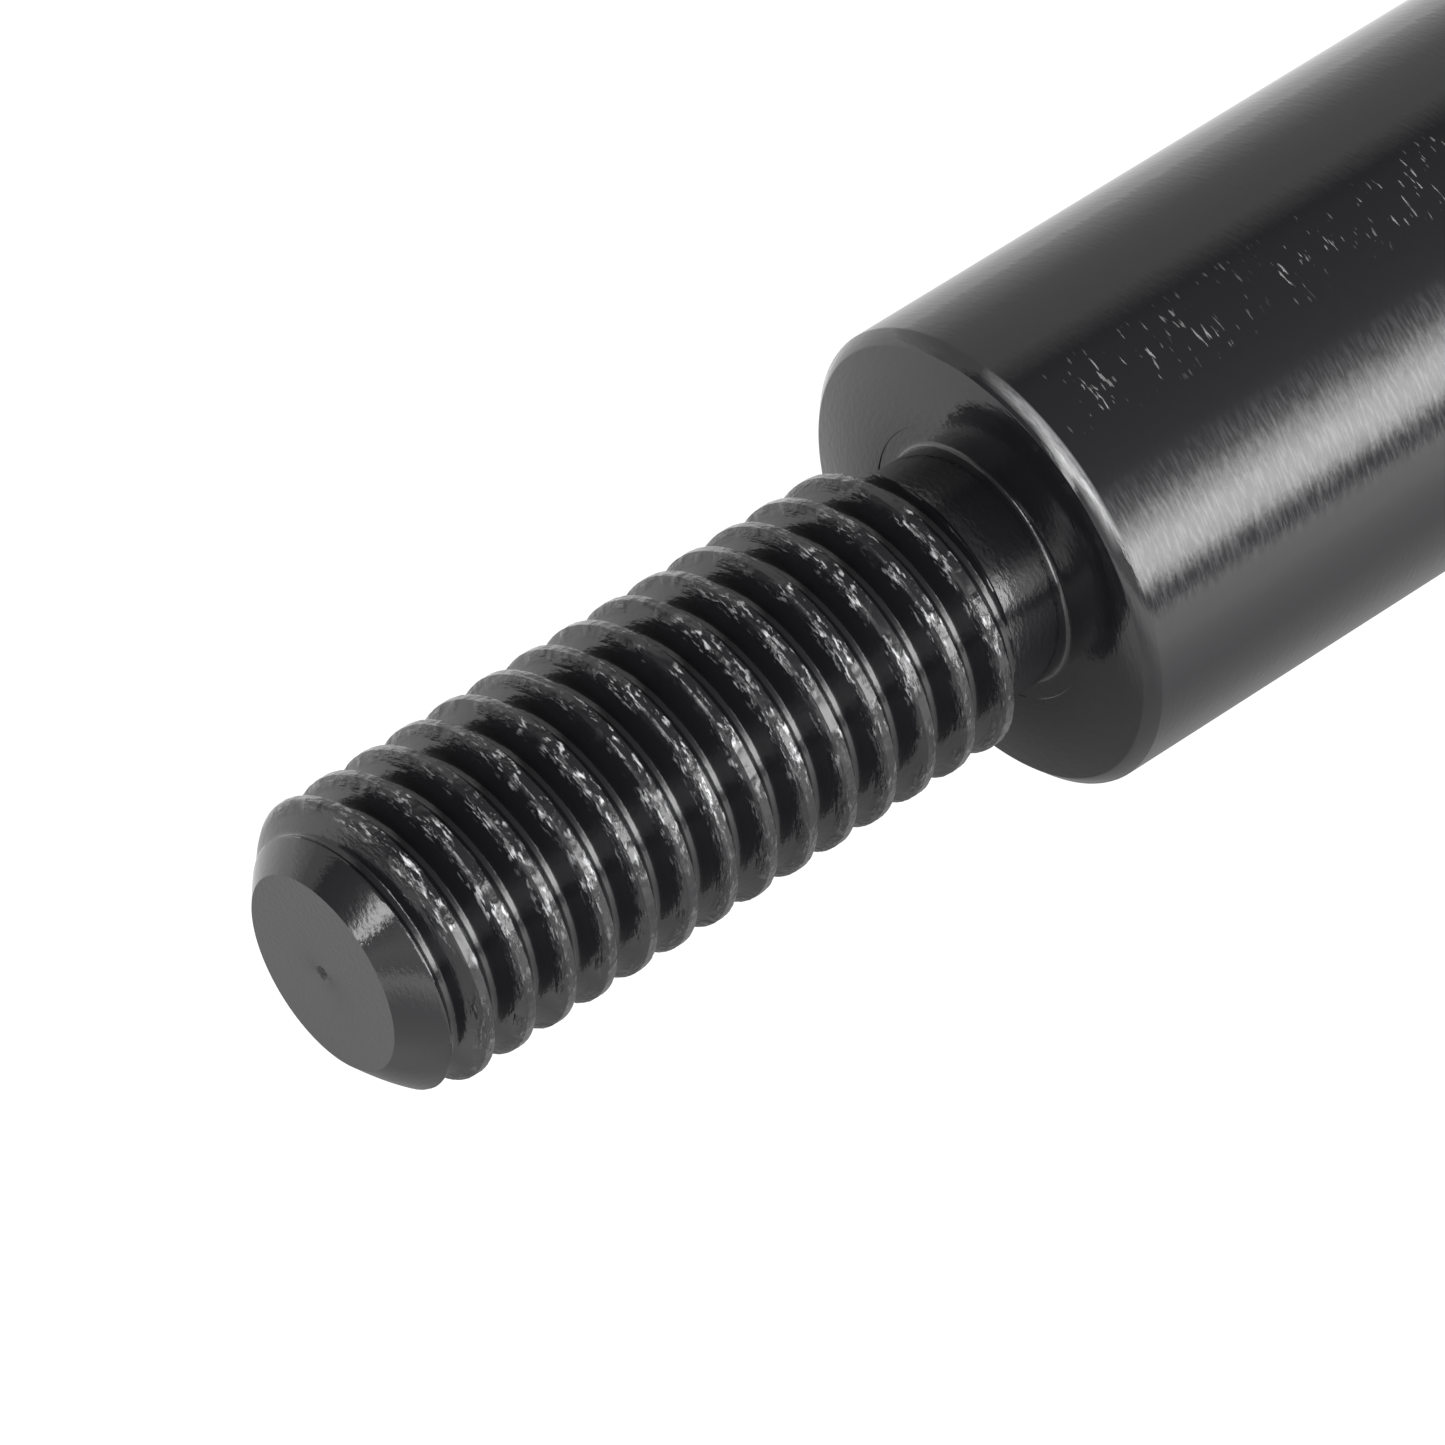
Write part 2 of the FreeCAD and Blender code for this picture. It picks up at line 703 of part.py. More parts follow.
def ball_centres(foot):
    """Evenly spaced ball centres round one whole circuit: loaded turns, then back by the tube."""
    radius = SIZE["ball_circle_dia"] / 2
    turns = SIZE["circuit_turns"]
    loaded = turns * math.hypot(2 * math.pi * radius, SIZE["lead"])
    path = tube_path(foot)
    count = int(SIZE["circuit_balls"])
    spacing = (loaded + path.Length) / count
    centres = []
    lengths = [edge.Length for edge in path.Edges]
    for step in range(count):
        along = (step + SIZE["first_ball_offset"]) * spacing
        if along < loaded:
            turned = turns * along / loaded
            angle = math.pi + 2 * math.pi * turned
            centres.append(Vector(foot + SIZE["lead"] * turned,
                                  radius * math.cos(angle), radius * math.sin(angle)))
            continue
        along -= loaded
        for edge, length in zip(path.OrderedEdges, lengths):
            if along <= length:
                centres.append(point_on(edge, along))
                break
            along -= length
    return centres


def point_on(edge, along):
    """The point a given length along an edge, measured in the edge's own direction."""
    if edge.Orientation == "Reversed":
        along = edge.Length - along
    return edge.valueAt(edge.getParameterByLength(along))


def build_circuit_balls(letter, foot):
    """The balls of one circuit."""
    ball = Part.makeSphere(SIZE["ball_dia"] / 2)
    spots = [Placement(centre, Rotation()) for centre in ball_centres(foot)]
    balls = copies("CircuitBalls_" + letter, ball, spots)
    place(balls, NUT_START)
    return register("circuit_balls_" + letter, balls)


def build_tube_clamp(letter, foot):
    """A sheet saddle over the crossover tube with a foot and a screw hole on each side."""
    thickness = SIZE["clamp_thickness"]
    inner = SIZE["tube_dia"] / 2
    outer = inner + thickness
    floor = SIZE["flat_height"]
    top = SIZE["tube_height"]
    foot_end = SIZE["clamp_screw_reach"] + SIZE["clamp_foot"] / 2
    width = SIZE["clamp_width"]

    def side(across, up):
        return Vector(-width / 2, across, up)

    edges = [
        Part.LineSegment(side(-foot_end, floor), side(-foot_end, floor + thickness)),
        Part.LineSegment(side(-foot_end, floor + thickness), side(-outer, floor + thickness)),
        Part.LineSegment(side(-outer, floor + thickness), side(-outer, top)),
        Part.Arc(side(-outer, top), side(0, top + outer), side(outer, top)),
        Part.LineSegment(side(outer, top), side(outer, floor + thickness)),
        Part.LineSegment(side(outer, floor + thickness), side(foot_end, floor + thickness)),
        Part.LineSegment(side(foot_end, floor + thickness), side(foot_end, floor)),
        Part.LineSegment(side(foot_end, floor), side(inner, floor)),
        Part.LineSegment(side(inner, floor), side(inner, top)),
        Part.Arc(side(inner, top), side(0, top + inner), side(-inner, top)),
        Part.LineSegment(side(-inner, top), side(-inner, floor)),
        Part.LineSegment(side(-inner, floor), side(-foot_end, floor)),
    ]
    outline = Part.Wire([edge.toShape() for edge in edges])
    saddle = Part.Face(outline).extrude(Vector(width, 0, 0))
    corners = [edge for edge in saddle.Edges if is_foot_corner(edge, foot_end)]
    saddle = saddle.makeFillet(width / 3, corners)
    for direction in (-1, 1):
        foot_middle = Vector(0, direction * SIZE["clamp_screw_reach"], floor - thickness)
        hole_radius = SIZE["clamp_screw_dia"] / 2 + SIZE["clamp_hole_gap"]
        saddle = saddle.cut(Part.makeCylinder(hole_radius, 4 * thickness, foot_middle))
    saddle.Placement = crossover_frame(foot)
    clamp = document.addObject("Part::Feature", "TubeClamp_" + letter)
    clamp.Shape = Part.makeCompound([saddle])
    place(clamp, NUT_START)
    return register("tube_clamp_" + letter, clamp)


def is_foot_corner(edge, foot_end):
    """True for the short upright edges at the ends of a clamp's feet."""
    box = edge.BoundBox
    return box.ZLength > 0.1 and box.XLength < 1e-6 and abs(abs(box.YMax) - foot_end) < 1e-6


def build_clamp_screws():
    """The socket screws that hold both tube clamps to the nut's flat."""
    length = SIZE["clamp_thickness"] + SIZE["clamp_screw_depth"] - SIZE["clamp_screw_spare"]
    screw = socket_screw(SIZE["clamp_head_dia"], SIZE["clamp_head_height"],
                         SIZE["clamp_screw_dia"], length, SIZE["clamp_hex"])
    top = SIZE["flat_height"] + SIZE["clamp_thickness"]
    spots = [Placement(point + Vector(0, 0, top), Rotation(Vector(0, 0, 1), 20 * index))
             for index, (point, _) in enumerate(clamp_screw_points())]
    screws = copies("ClampScrews", screw, spots)
    place(screws, NUT_START)
    return register("clamp_screws", screws)


def build_wipers():
    """The two wiper seals and the split rings that keep them in the nut's ends."""
    seats = (
        ("front", NUT_START + " + ring_width", NUT_START),
        ("rear", NUT_START + " + nut_length - ring_width - wiper_width",
         NUT_START + " + nut_length - ring_width"),
    )
    for end, wiper_x, ring_x in seats:
        wiper = ring_body("Wiper_" + end, wiper_x, "wiper_bore / 2", "wiper_dia / 2",
                          "wiper_width")
        register("wiper_" + end, wiper)
        ring = document.addObject("Part::Cylinder", "RingOutside_" + end)
        ring.setExpression("Radius", bound("ring_groove_dia / 2"))
        ring.setExpression("Height", bound("ring_width - ring_slack"))
        hole = document.addObject("Part::Cylinder", "RingInside_" + end)
        hole.setExpression("Radius", bound("ring_bore / 2"))
        hole.setExpression("Height", bound("ring_width"))
        gap = document.addObject("Part::Box", "RingGap_" + end)
        gap.setExpression("Length", bound("ring_width"))
        gap.setExpression("Width", bound("ring_width * 3"))
        gap.setExpression("Height", bound("ring_groove_dia"))
        away = document.addObject("Part::Fuse", "RingWaste_" + end)
        split = document.addObject("Part::Cut", "SnapRing_" + end)
        turn = Rotation(Vector(0, 1, 0), 90)
        ring.Placement = Placement(Vector(0, 0, 0), turn)
        hole.Placement = Placement(Vector(0, 0, 0), turn)
        gap.Placement = Placement(Vector(0, -1.5 * SIZE["ring_width"], 0), Rotation())
        away.Base = hole
        away.Tool = gap
        split.Base = ring
        split.Tool = away
        place(split, ring_x)
        register("wiper_ring_" + end, split)


def build_grease_nipple():
    """A hexagonal grease nipple screwed into the flange's rim, with its ball valve."""
    body = document.addObject("PartDesign::Body", "NippleTurned")
    shank = "nipple_dia / 2 - nipple_slack"
    neck_start = "nipple_hex_height + nipple_neck_rise"
    bead_start = neck_start + " + nipple_bead_rise"
    mouth = "nipple_ball_dia / 2 + 0.05"
    revolve(body, "NippleTurning", (
        ("- nipple_depth + 0.5", "nipple_channel_dia / 2"),
        ("- nipple_depth + 0.5", shank),
        ("0", shank),
        ("0", "nipple_hex / 2 - nipple_slack"),
        ("nipple_hex_height", "nipple_hex / 2 - nipple_slack"),
        ("nipple_hex_height + 0.6", "nipple_neck_dia / 2 + 0.45"),
        (neck_start, "nipple_neck_dia / 2"),
        (neck_start + " + 0.6", "nipple_neck_dia / 2"),
        (bead_start, "nipple_bead_dia / 2"),
        (bead_start + " + 0.6", "nipple_bead_dia / 2"),
        ("nipple_height", "nipple_neck_dia / 2 - 0.25"),
        ("nipple_height", mouth),
        ("nipple_ball_rise - 0.45", mouth),
        ("nipple_ball_rise - 0.45", "nipple_channel_dia / 2"),
    ))
    document.recompute()
    hexagon = hexagon_prism(SIZE["nipple_hex"], SIZE["nipple_hex_height"])
    hexagon = hexagon.cut(Part.makeCylinder(SIZE["nipple_dia"] / 4, SIZE["nipple_height"]))
    turned = body.Shape.copy()
    turned.Placement = Placement(Vector(0, 0, 0), Rotation(Vector(0, 1, 0), -90))
    nipple = document.addObject("Part::Feature", "GreaseNipple")
    nipple.Shape = turned.fuse(hexagon).removeSplitter()
    nipple.Placement = nipple_frame(SIZE["flange_dia"] / 2)
    register("grease_nipple", nipple)
    ball = document.addObject("Part::Sphere", "NippleBall")
    ball.setExpression("Radius", bound("nipple_ball_dia / 2"))
    ball.Placement = nipple_frame(SIZE["flange_dia"] / 2 + SIZE["nipple_ball_rise"])
    register("nipple_ball", ball)


# ---- Support block ---------------------------------------------------------------------------

def build_bearing_housing():
    """The block: a tower on two wings, bored for the bearings, with its bolt and cap holes."""
    body = new_body("BearingHousing", "- block_length / 2")
    low = "- axis_height"
    outline = new_sketch(body, "HousingOutline", "YZ_Plane")
    draw_outline(outline, (
        ("- block_width / 2", low),
        ("block_width / 2", low),
        ("block_width / 2", "wing_height - axis_height"),
        ("tower_width / 2", "wing_height - axis_height"),
        ("tower_width / 2", "block_height - axis_height"),
        ("- tower_width / 2", "block_height - axis_height"),
        ("- tower_width / 2", "wing_height - axis_height"),
        ("- block_width / 2", "wing_height - axis_height"),
    ))
    pad = body.newObject("PartDesign::Pad", "HousingPad")
    pad.Profile = outline
    pad.setExpression("Length", bound("block_length"))
    document.recompute()
    holes_along_x(body, "SealPocket", [("0", "0")], "seal_dia / 2", "seal_width")
    holes_along_x(body, "LipBore", [("0", "0")], "lip_bore / 2", "block_length")
    holes_along_x(body, "BearingBore", [("0", "0")], "bearing_dia / 2",
                  "block_length - seal_width - housing_lip", "seal_width + housing_lip")
    half = "cap_screw_pitch / 2"
    corners = [(half, half), ("- " + half, half), (half, "- " + half), ("- " + half, "- " + half)]
    holes_along_x(body, "CapScrewHoles", corners, "cap_screw_dia / 2", "cap_screw_length - 1",
                  "block_length - cap_screw_length + 1")
    for level, name, radius, depth in (
        (low, "BaseHoles", "base_hole_dia / 2", "wing_height"),
        ("wing_height - axis_height - base_sink_depth", "BaseSinks", "base_sink_dia / 2",
         "base_sink_depth"),
    ):
        sketch = new_sketch(body, name + "Circles")
        sketch.setExpression(".AttachmentOffset.Base.z", bound(level))
        for side in ("- base_hole_pitch_y / 2", "base_hole_pitch_y / 2"):
            for along in ("block_length / 2 - base_hole_pitch_x / 2",
                          "block_length / 2 + base_hole_pitch_x / 2"):
                draw_circle(sketch, along, side, radius)
        drilled = body.newObject("PartDesign::Pocket", name)
        drilled.Profile = sketch
        drilled.setExpression("Length", bound(depth))
        drilled.Reversed = True
    document.recompute()
    soften_block(body)
    return register("bearing_housing", body)


def soften_block(body):
    """Chamfer the block's long outer edges."""
    cut = body.Tip
    names = []
    for number, edge in enumerate(cut.Shape.Edges, start=1):
        box = edge.BoundBox
        outer_wing = abs(abs(box.Center.y) - SIZE["block_width"] / 2) < 1e-6
        tower_top = abs(box.Center.z - SIZE["block_height"] + SIZE["axis_height"]) < 1e-6
        if box.XLength > SIZE["block_length"] - 0.1 and (outer_wing or tower_top):
            names.append("Edge%d" % number)
    chamfer = body.newObject("PartDesign::Chamfer", "OuterChamfer")
    chamfer.Base = (cut, names)
    chamfer.setExpression("Size", bound("block_fillet"))
    document.recompute()


def build_retaining_cap():
    """The square cap that clamps the outer rings, with its spigot, seal pocket and screw holes."""
    body = new_body("RetainingCap", CAP_SEAT)
    spigot = "block_length / 2 - bearing_width - bearing_width + block_length / 2"
    spigot = spigot + " - seal_width - housing_lip"
    half = "tower_width / 2"
    plate = new_sketch(body, "CapOutline", "YZ_Plane")
    plate.setExpression(".AttachmentOffset.Base.z", bound(spigot))
    draw_outline(plate, (
        ("- " + half, "- " + half),
        (half, "- " + half),
        (half, half),
        ("- " + half, half),
    ))
    pad = body.newObject("PartDesign::Pad", "CapPlate")
    pad.Profile = plate
    pad.setExpression("Length", bound("cap_thickness"))
    document.recompute()
    squared = body.Tip
    upright = [
        "Edge%d" % number for number, edge in enumerate(squared.Shape.Edges, start=1)
        if edge.BoundBox.XLength > SIZE["cap_thickness"] - 0.1
    ]
    corner = body.newObject("PartDesign::Fillet", "CapCorners")
    corner.Base = (squared, upright)
    corner.setExpression("Radius", bound("cap_corner"))
    document.recompute()
    ring = new_sketch(body, "SpigotCircle", "YZ_Plane")
    draw_circle(ring, "0", "0", "bearing_dia / 2 - spigot_gap")
    boss = body.newObject("PartDesign::Pad", "CapSpigot")
    boss.Profile = ring
    boss.setExpression("Length", bound(spigot + " + cap_thickness / 2"))
    document.recompute()
    whole = spigot + " + cap_thickness"
    holes_along_x(body, "CapBore", [("0", "0")], "lip_bore / 2", whole)
    holes_along_x(body, "CapSealPocket", [("0", "0")], "seal_dia / 2", "seal_width",
                  whole + " - seal_width")
    pitch = "cap_screw_pitch / 2"
    corners = [(pitch, pitch), ("- " + pitch, pitch), (pitch, "- " + pitch),
               ("- " + pitch, "- " + pitch)]
    holes_along_x(body, "CapHoles", corners, "cap_screw_dia / 2 + cap_hole_gap",
                  "cap_thickness", spigot)
    sink = "cap_head_height + cap_hole_gap"
    holes_along_x(body, "CapSinks", corners, "cap_head_dia / 2 + cap_sink_gap", sink,
                  whole + flipped_tail(sink))
    document.recompute()
    return register("retaining_cap", body)


def build_cap_screws():
    """The four socket screws of the retaining cap."""
    screw = socket_screw(SIZE["cap_head_dia"], SIZE["cap_head_height"], SIZE["cap_screw_dia"],
                         SIZE["cap_screw_length"], SIZE["cap_hex"])
    seat = value(BLOCK_FACE + " + cap_thickness - cap_head_height - cap_hole_gap")
    reach = SIZE["cap_screw_pitch"] / 2
    spots = []
    for across in (-reach, reach):
        for up in (-reach, reach):
            turn = Rotation(Vector(0, 1, 0), 90).multiply(Rotation(Vector(0, 0, 1), 7 * across))
            spots.append(Placement(Vector(seat, across, up), turn))
    screws = copies("CapScrews", screw, spots)
    place(screws)
    return register("cap_screws", screws)


def build_bearing(end, x, flipped_relief):
    """One angular contact ball bearing: inner ring, outer ring, cage and balls."""
    groove = "bearing_ball_dia / 2 + race_clearance"
    inner = ring_body("InnerRing_" + end, x, "journal_dia / 2", "inner_land_dia / 2",
                      "bearing_width")
    cut_torus(inner, "InnerRace", "bearing_width / 2", "bearing_pitch_dia / 2", groove)
    register(end + "_inner_ring", inner)

    outer = new_body("OuterRing_" + end, x)
    land = ("outer_land_dia / 2", "outer_relief_dia / 2")
    start_land, end_land = land if flipped_relief else land[::-1]
    revolve(outer, "OuterSection", (
        ("0", start_land),
        ("bearing_width / 2", start_land),
        ("bearing_width / 2", end_land),
        ("bearing_width", end_land),
        ("bearing_width", "bearing_dia / 2 - ring_chamfer"),
        ("bearing_width - ring_chamfer", "bearing_dia / 2"),
        ("ring_chamfer", "bearing_dia / 2"),
        ("0", "bearing_dia / 2 - ring_chamfer"),
    ))
    cut_torus(outer, "OuterRace", "bearing_width / 2", "bearing_pitch_dia / 2", groove)
    register(end + "_outer_ring", outer)

    margin = "bearing_width / 2 - cage_width / 2"
    cage = new_body("Cage_" + end, x)
    revolve(cage, "CageSection", (
        (margin, "cage_inner_dia / 2"),
        (margin + " + cage_width", "cage_inner_dia / 2"),
        (margin + " + cage_width", "cage_outer_dia / 2"),
        (margin, "cage_outer_dia / 2"),
    ))
    pocket_sketch = new_sketch(cage, "PocketCircle")
    draw_circle(pocket_sketch, "bearing_width / 2", "0", "bearing_ball_dia / 2 + race_clearance")
    pocket = cage.newObject("PartDesign::Pocket", "BallPocket")
    pocket.Profile = pocket_sketch
    pocket.setExpression("Length", bound("cage_outer_dia"))
    pocket.Reversed = True
    document.recompute()
    pattern = cage.newObject("PartDesign::PolarPattern", "BallPockets")
    pattern.Originals = [pocket]
    pattern.Axis = (pocket_sketch, ["H_Axis"])
    pattern.Angle = 360
    pattern.Occurrences = int(SIZE["bearing_balls"])
    cage.Tip = pattern
    register(end + "_cage", cage)

    ball = Part.makeSphere(SIZE["bearing_ball_dia"] / 2)
    spots = []
    for step in range(int(SIZE["bearing_balls"])):
        angle = math.pi / 2 + 2 * math.pi * step / SIZE["bearing_balls"]
        radius = SIZE["bearing_pitch_dia"] / 2
        centre = Vector(SIZE["bearing_width"] / 2, radius * math.cos(angle),
                        radius * math.sin(angle))
        spots.append(Placement(centre, Rotation()))
    balls = copies("BearingBalls_" + end, ball, spots)
    place(balls, x)
    register(end + "_bearing_balls", balls)


def build_collars_and_seals():
    """The two spacer collars on the journal and the oil seals that run on them."""
    front = SCREW_SHOULDER
    register("front_collar", ring_body(
        "FrontCollar", front, "journal_dia / 2", "collar_dia / 2",
        "collar_proud + seal_width + housing_lip"))
    rear_width = "block_length - seal_width - housing_lip - bearing_width - bearing_width"
    register("rear_collar", ring_body(
        "RearCollar", CAP_SEAT, "journal_dia / 2", "collar_dia / 2",
        rear_width + " + cap_thickness + rear_collar_proud"))
    register("front_oil_seal", ring_body(
        "FrontSeal", "- block_length / 2", "seal_bore / 2", "seal_dia / 2", "seal_width"))
    register("rear_oil_seal", ring_body(
        "RearSeal", BLOCK_FACE + " + cap_thickness - seal_width", "seal_bore / 2",
        "seal_dia / 2", "seal_width"))


def build_lock_nut():
    """The slotted lock nut with its set screws and the soft pads under them."""
    body = ring_body("LockNut", COLLAR_END, "journal_dia / 2", "lock_nut_dia / 2",
                     "lock_nut_width", "end_chamfer")
    slot_sketch = new_sketch(body, "SlotOutline", "YZ_Plane")
    draw_outline(slot_sketch, (
        ("- lock_slot_width / 2", "lock_nut_dia / 2 - lock_slot_depth"),
        ("lock_slot_width / 2", "lock_nut_dia / 2 - lock_slot_depth"),
        ("lock_slot_width / 2", "lock_nut_dia / 2 + 1"),
        ("- lock_slot_width / 2", "lock_nut_dia / 2 + 1"),
    ))
    slot = body.newObject("PartDesign::Pocket", "Slot")
    slot.Profile = slot_sketch
    slot.setExpression("Length", bound("lock_nut_width"))
    slot.Reversed = True
    document.recompute()
    pattern = body.newObject("PartDesign::PolarPattern", "Slots")
    pattern.Originals = [slot]
    pattern.Axis = (slot_sketch, ["N_Axis"])
    pattern.Angle = 360
    pattern.Occurrences = int(SIZE["lock_nut_slots"])
    body.Tip = pattern
    document.recompute()

    drills = []
    screws = []
    pads = []
    bottom = SIZE["journal_dia"] / 2
    pad_seat = bottom + SIZE["pad_gap"]
    for angle in (SIZE["grub_first_angle"], SIZE["grub_second_angle"]):
        out = Vector(0, math.cos(math.radians(angle)), math.sin(math.radians(angle)))
        middle = Vector(value(COLLAR_END) + SIZE["lock_nut_width"] / 2, 0, SIZE["axis_height"])
        turn = Rotation(Vector(0, 0, 1), out)
        drills.append(Part.makeCylinder(SIZE["grub_dia"] / 2, SIZE["lock_nut_dia"] / 2))
        drills[-1].Placement = Placement(middle + out * (bottom - 1), turn)
        pads.append(Placement(middle + out * pad_seat, turn))
        screws.append(Placement(middle + out * (pad_seat + SIZE["pad_length"]), turn))
    drilling = document.addObject("Part::Feature", "GrubDrilling")
    drilling.Shape = drills[0].fuse(drills[1])
    nut = document.addObject("Part::Cut", "DrilledLockNut")
    nut.Base = body
    nut.Tool = drilling
    register("lock_nut", nut)
    grub = grub_screw(SIZE["grub_dia"], SIZE["grub_length"])
    register("lock_nut_set_screws", copies("LockNutSetScrews", grub, screws))
    pad = Part.makeCylinder(SIZE["grub_dia"] / 2 - SIZE["pad_gap"], SIZE["pad_length"])
    register("lock_nut_pads", copies("LockNutPads", pad, pads))


# ---- Build, check and export -----------------------------------------------------------------

def build_assembly():
    """Make every sub-part."""
    build_screw_shaft()
    build_nut_body()
    for letter, foot in circuit_feet():
        build_return_tube(letter, foot)
        build_circuit_balls(letter, foot)
        build_tube_clamp(letter, foot)
    build_clamp_screws()
    build_wipers()
    build_grease_nipple()
    build_bearing_housing()
    build_retaining_cap()
    build_cap_screws()
    build_bearing("front", BEARING_SEAT, True)
    build_bearing("rear", BEARING_SEAT + " + bearing_width", False)
    build_collars_and_seals()
    build_lock_nut()


def check_assembly():
    """Stop if any object failed to recompute or any sub-part's shape is missing or invalid."""
    for thing in document.Objects:
        if any(word in state for state in thing.State for word in ("Invalid", "Error")):
            raise RuntimeError("%s failed: %s" % (thing.Name, thing.getStatusString()))
    for name, thing in subparts.items():
        if thing.Shape.isNull() or not thing.Shape.isValid():
            raise RuntimeError("%s has no valid shape" % name)


build_assembly()
document.recompute()
check_assembly()
os.makedirs("parts", exist_ok=True)
for name, thing in subparts.items():
    thing.Shape.exportStep(os.path.join("parts", name + ".step"))
    print("%-22s %4d solid(s) %12.3f mm3" % (name, len(thing.Shape.Solids), thing.Shape.Volume))
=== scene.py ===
import json
import math

import bmesh
import bpy
from mathutils import Matrix, Vector, noise


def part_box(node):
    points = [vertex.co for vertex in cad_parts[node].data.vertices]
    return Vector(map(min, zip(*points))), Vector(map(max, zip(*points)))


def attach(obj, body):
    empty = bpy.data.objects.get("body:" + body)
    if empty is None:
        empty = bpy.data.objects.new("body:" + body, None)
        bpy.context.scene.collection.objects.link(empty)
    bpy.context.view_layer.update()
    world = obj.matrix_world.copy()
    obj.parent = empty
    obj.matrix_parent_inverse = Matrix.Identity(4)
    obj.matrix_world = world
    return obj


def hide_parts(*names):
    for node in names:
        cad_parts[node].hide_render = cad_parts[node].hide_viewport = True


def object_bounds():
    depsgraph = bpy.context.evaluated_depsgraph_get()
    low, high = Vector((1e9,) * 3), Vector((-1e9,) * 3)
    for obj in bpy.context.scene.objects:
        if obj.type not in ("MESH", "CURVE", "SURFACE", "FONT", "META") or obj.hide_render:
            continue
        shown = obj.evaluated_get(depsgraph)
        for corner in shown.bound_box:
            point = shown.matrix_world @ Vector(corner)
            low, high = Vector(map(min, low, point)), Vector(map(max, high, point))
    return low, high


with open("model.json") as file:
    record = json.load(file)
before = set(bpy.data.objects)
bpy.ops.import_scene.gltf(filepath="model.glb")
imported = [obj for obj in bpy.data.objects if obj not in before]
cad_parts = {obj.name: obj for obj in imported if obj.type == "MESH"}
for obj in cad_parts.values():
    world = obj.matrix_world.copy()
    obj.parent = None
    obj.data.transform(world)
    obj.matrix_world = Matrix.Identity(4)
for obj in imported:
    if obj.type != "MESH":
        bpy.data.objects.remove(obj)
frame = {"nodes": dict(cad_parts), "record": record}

CAD_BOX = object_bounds()
MM = 0.001

# ---- Places, worked out from the frame -------------------------------------------------------

SHAFT_LOW, SHAFT_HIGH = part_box("screw_shaft")
AXIS_HEIGHT = (SHAFT_LOW[2] + SHAFT_HIGH[2]) / 2
TIP_X = SHAFT_LOW[0]
STUD_LENGTH = 20.6 * MM
SHOULDER_X = TIP_X + STUD_LENGTH
SHANK_RADIUS = 6.25 * MM
COLUMNS = 192

# ---- Camera ----------------------------------------------------------------------------------

CAMERA_AZIMUTH = math.radians(-40.8)
CAMERA_ELEVATION = math.radians(46.36)
CAMERA_LENS = 299.0
CAMERA_DISTANCE = 290.64 * MM
SHOULDER_RIGHT = 6.218 * MM
SHOULDER_UP = 3.860 * MM


def view_axes():
    """The camera's right, up and backward directions, with no roll."""
    a, e = CAMERA_AZIMUTH, CAMERA_ELEVATION
    right = Vector((math.cos(a), math.sin(a), 0))
    back = Vector((math.sin(a) * math.cos(e), -math.cos(a) * math.cos(e), math.sin(e)))
    return right, back.cross(right), back


def add_camera():
    """A long lens looking at the stud's shoulder from above the tip."""
    right, up, back = view_axes()
    shoulder = Vector((SHOULDER_X, 0, AXIS_HEIGHT))
    place = shoulder - right * SHOULDER_RIGHT - up * SHOULDER_UP + back * CAMERA_DISTANCE
    data = bpy.data.cameras.new("camera")
    data.lens = CAMERA_LENS
    data.sensor_width = 36.0
    data.clip_start = 0.01
    data.clip_end = 50.0
    camera = bpy.data.objects.new("camera", data)
    turn = Matrix((right, up, back)).transposed().to_4x4()
    camera.matrix_world = Matrix.Translation(place) @ turn
    bpy.context.collection.objects.link(camera)
    bpy.context.scene.camera = camera


# ---- Light and floor -------------------------------------------------------------------------

# Brightness of the studio round the screw's axis: (degrees from the camera's side, radiance).
# Tuned until the shank was about as bright in the picture as in the photograph.
STUDIO_LIGHT = (
    (-180, 0.9),
    (-120, 1.0),
    (-90, 1.4),
    (-60, 0.9),
    (-54, 0.6),
    (-50, 1.8),
    (-43, 8.4),
    (-36, 10.0),
    (-30, 9.5),
    (-21, 4.9),
    (-14, 1.6),
    (-6, 0.75),
    (4, 0.45),
    (20, 0.36),
    (50, 0.30),
    (58, 0.22),
    (72, 0.95),
    (100, 0.9),
    (122, 1.35),
    (180, 1.2),
)
STUDIO_PEAK = max(level for _, level in STUDIO_LIGHT)

# The softbox hangs at a slant: towards the stud's end it comes round by this angle.
SOFTBOX_SLANT = math.radians(62)
SLANT_FROM = -0.55
SLANT_TO = -0.85


def node(tree, kind, inputs=None, **settings):
    """Add a shader node, set its properties and fill or link its inputs."""
    made = tree.nodes.new(kind)
    for key, setting in settings.items():
        setattr(made, key, setting)
    for key, source in (inputs or {}).items():
        socket = made.inputs[key]
        if isinstance(source, bpy.types.NodeSocket):
            tree.links.new(source, socket)
        else:
            socket.default_value = source
    return made


def math_node(tree, operation, *values):
    """A math node fed with sockets or numbers; returns its output."""
    return node(tree, "ShaderNodeMath", dict(enumerate(values)), operation=operation).outputs[0]


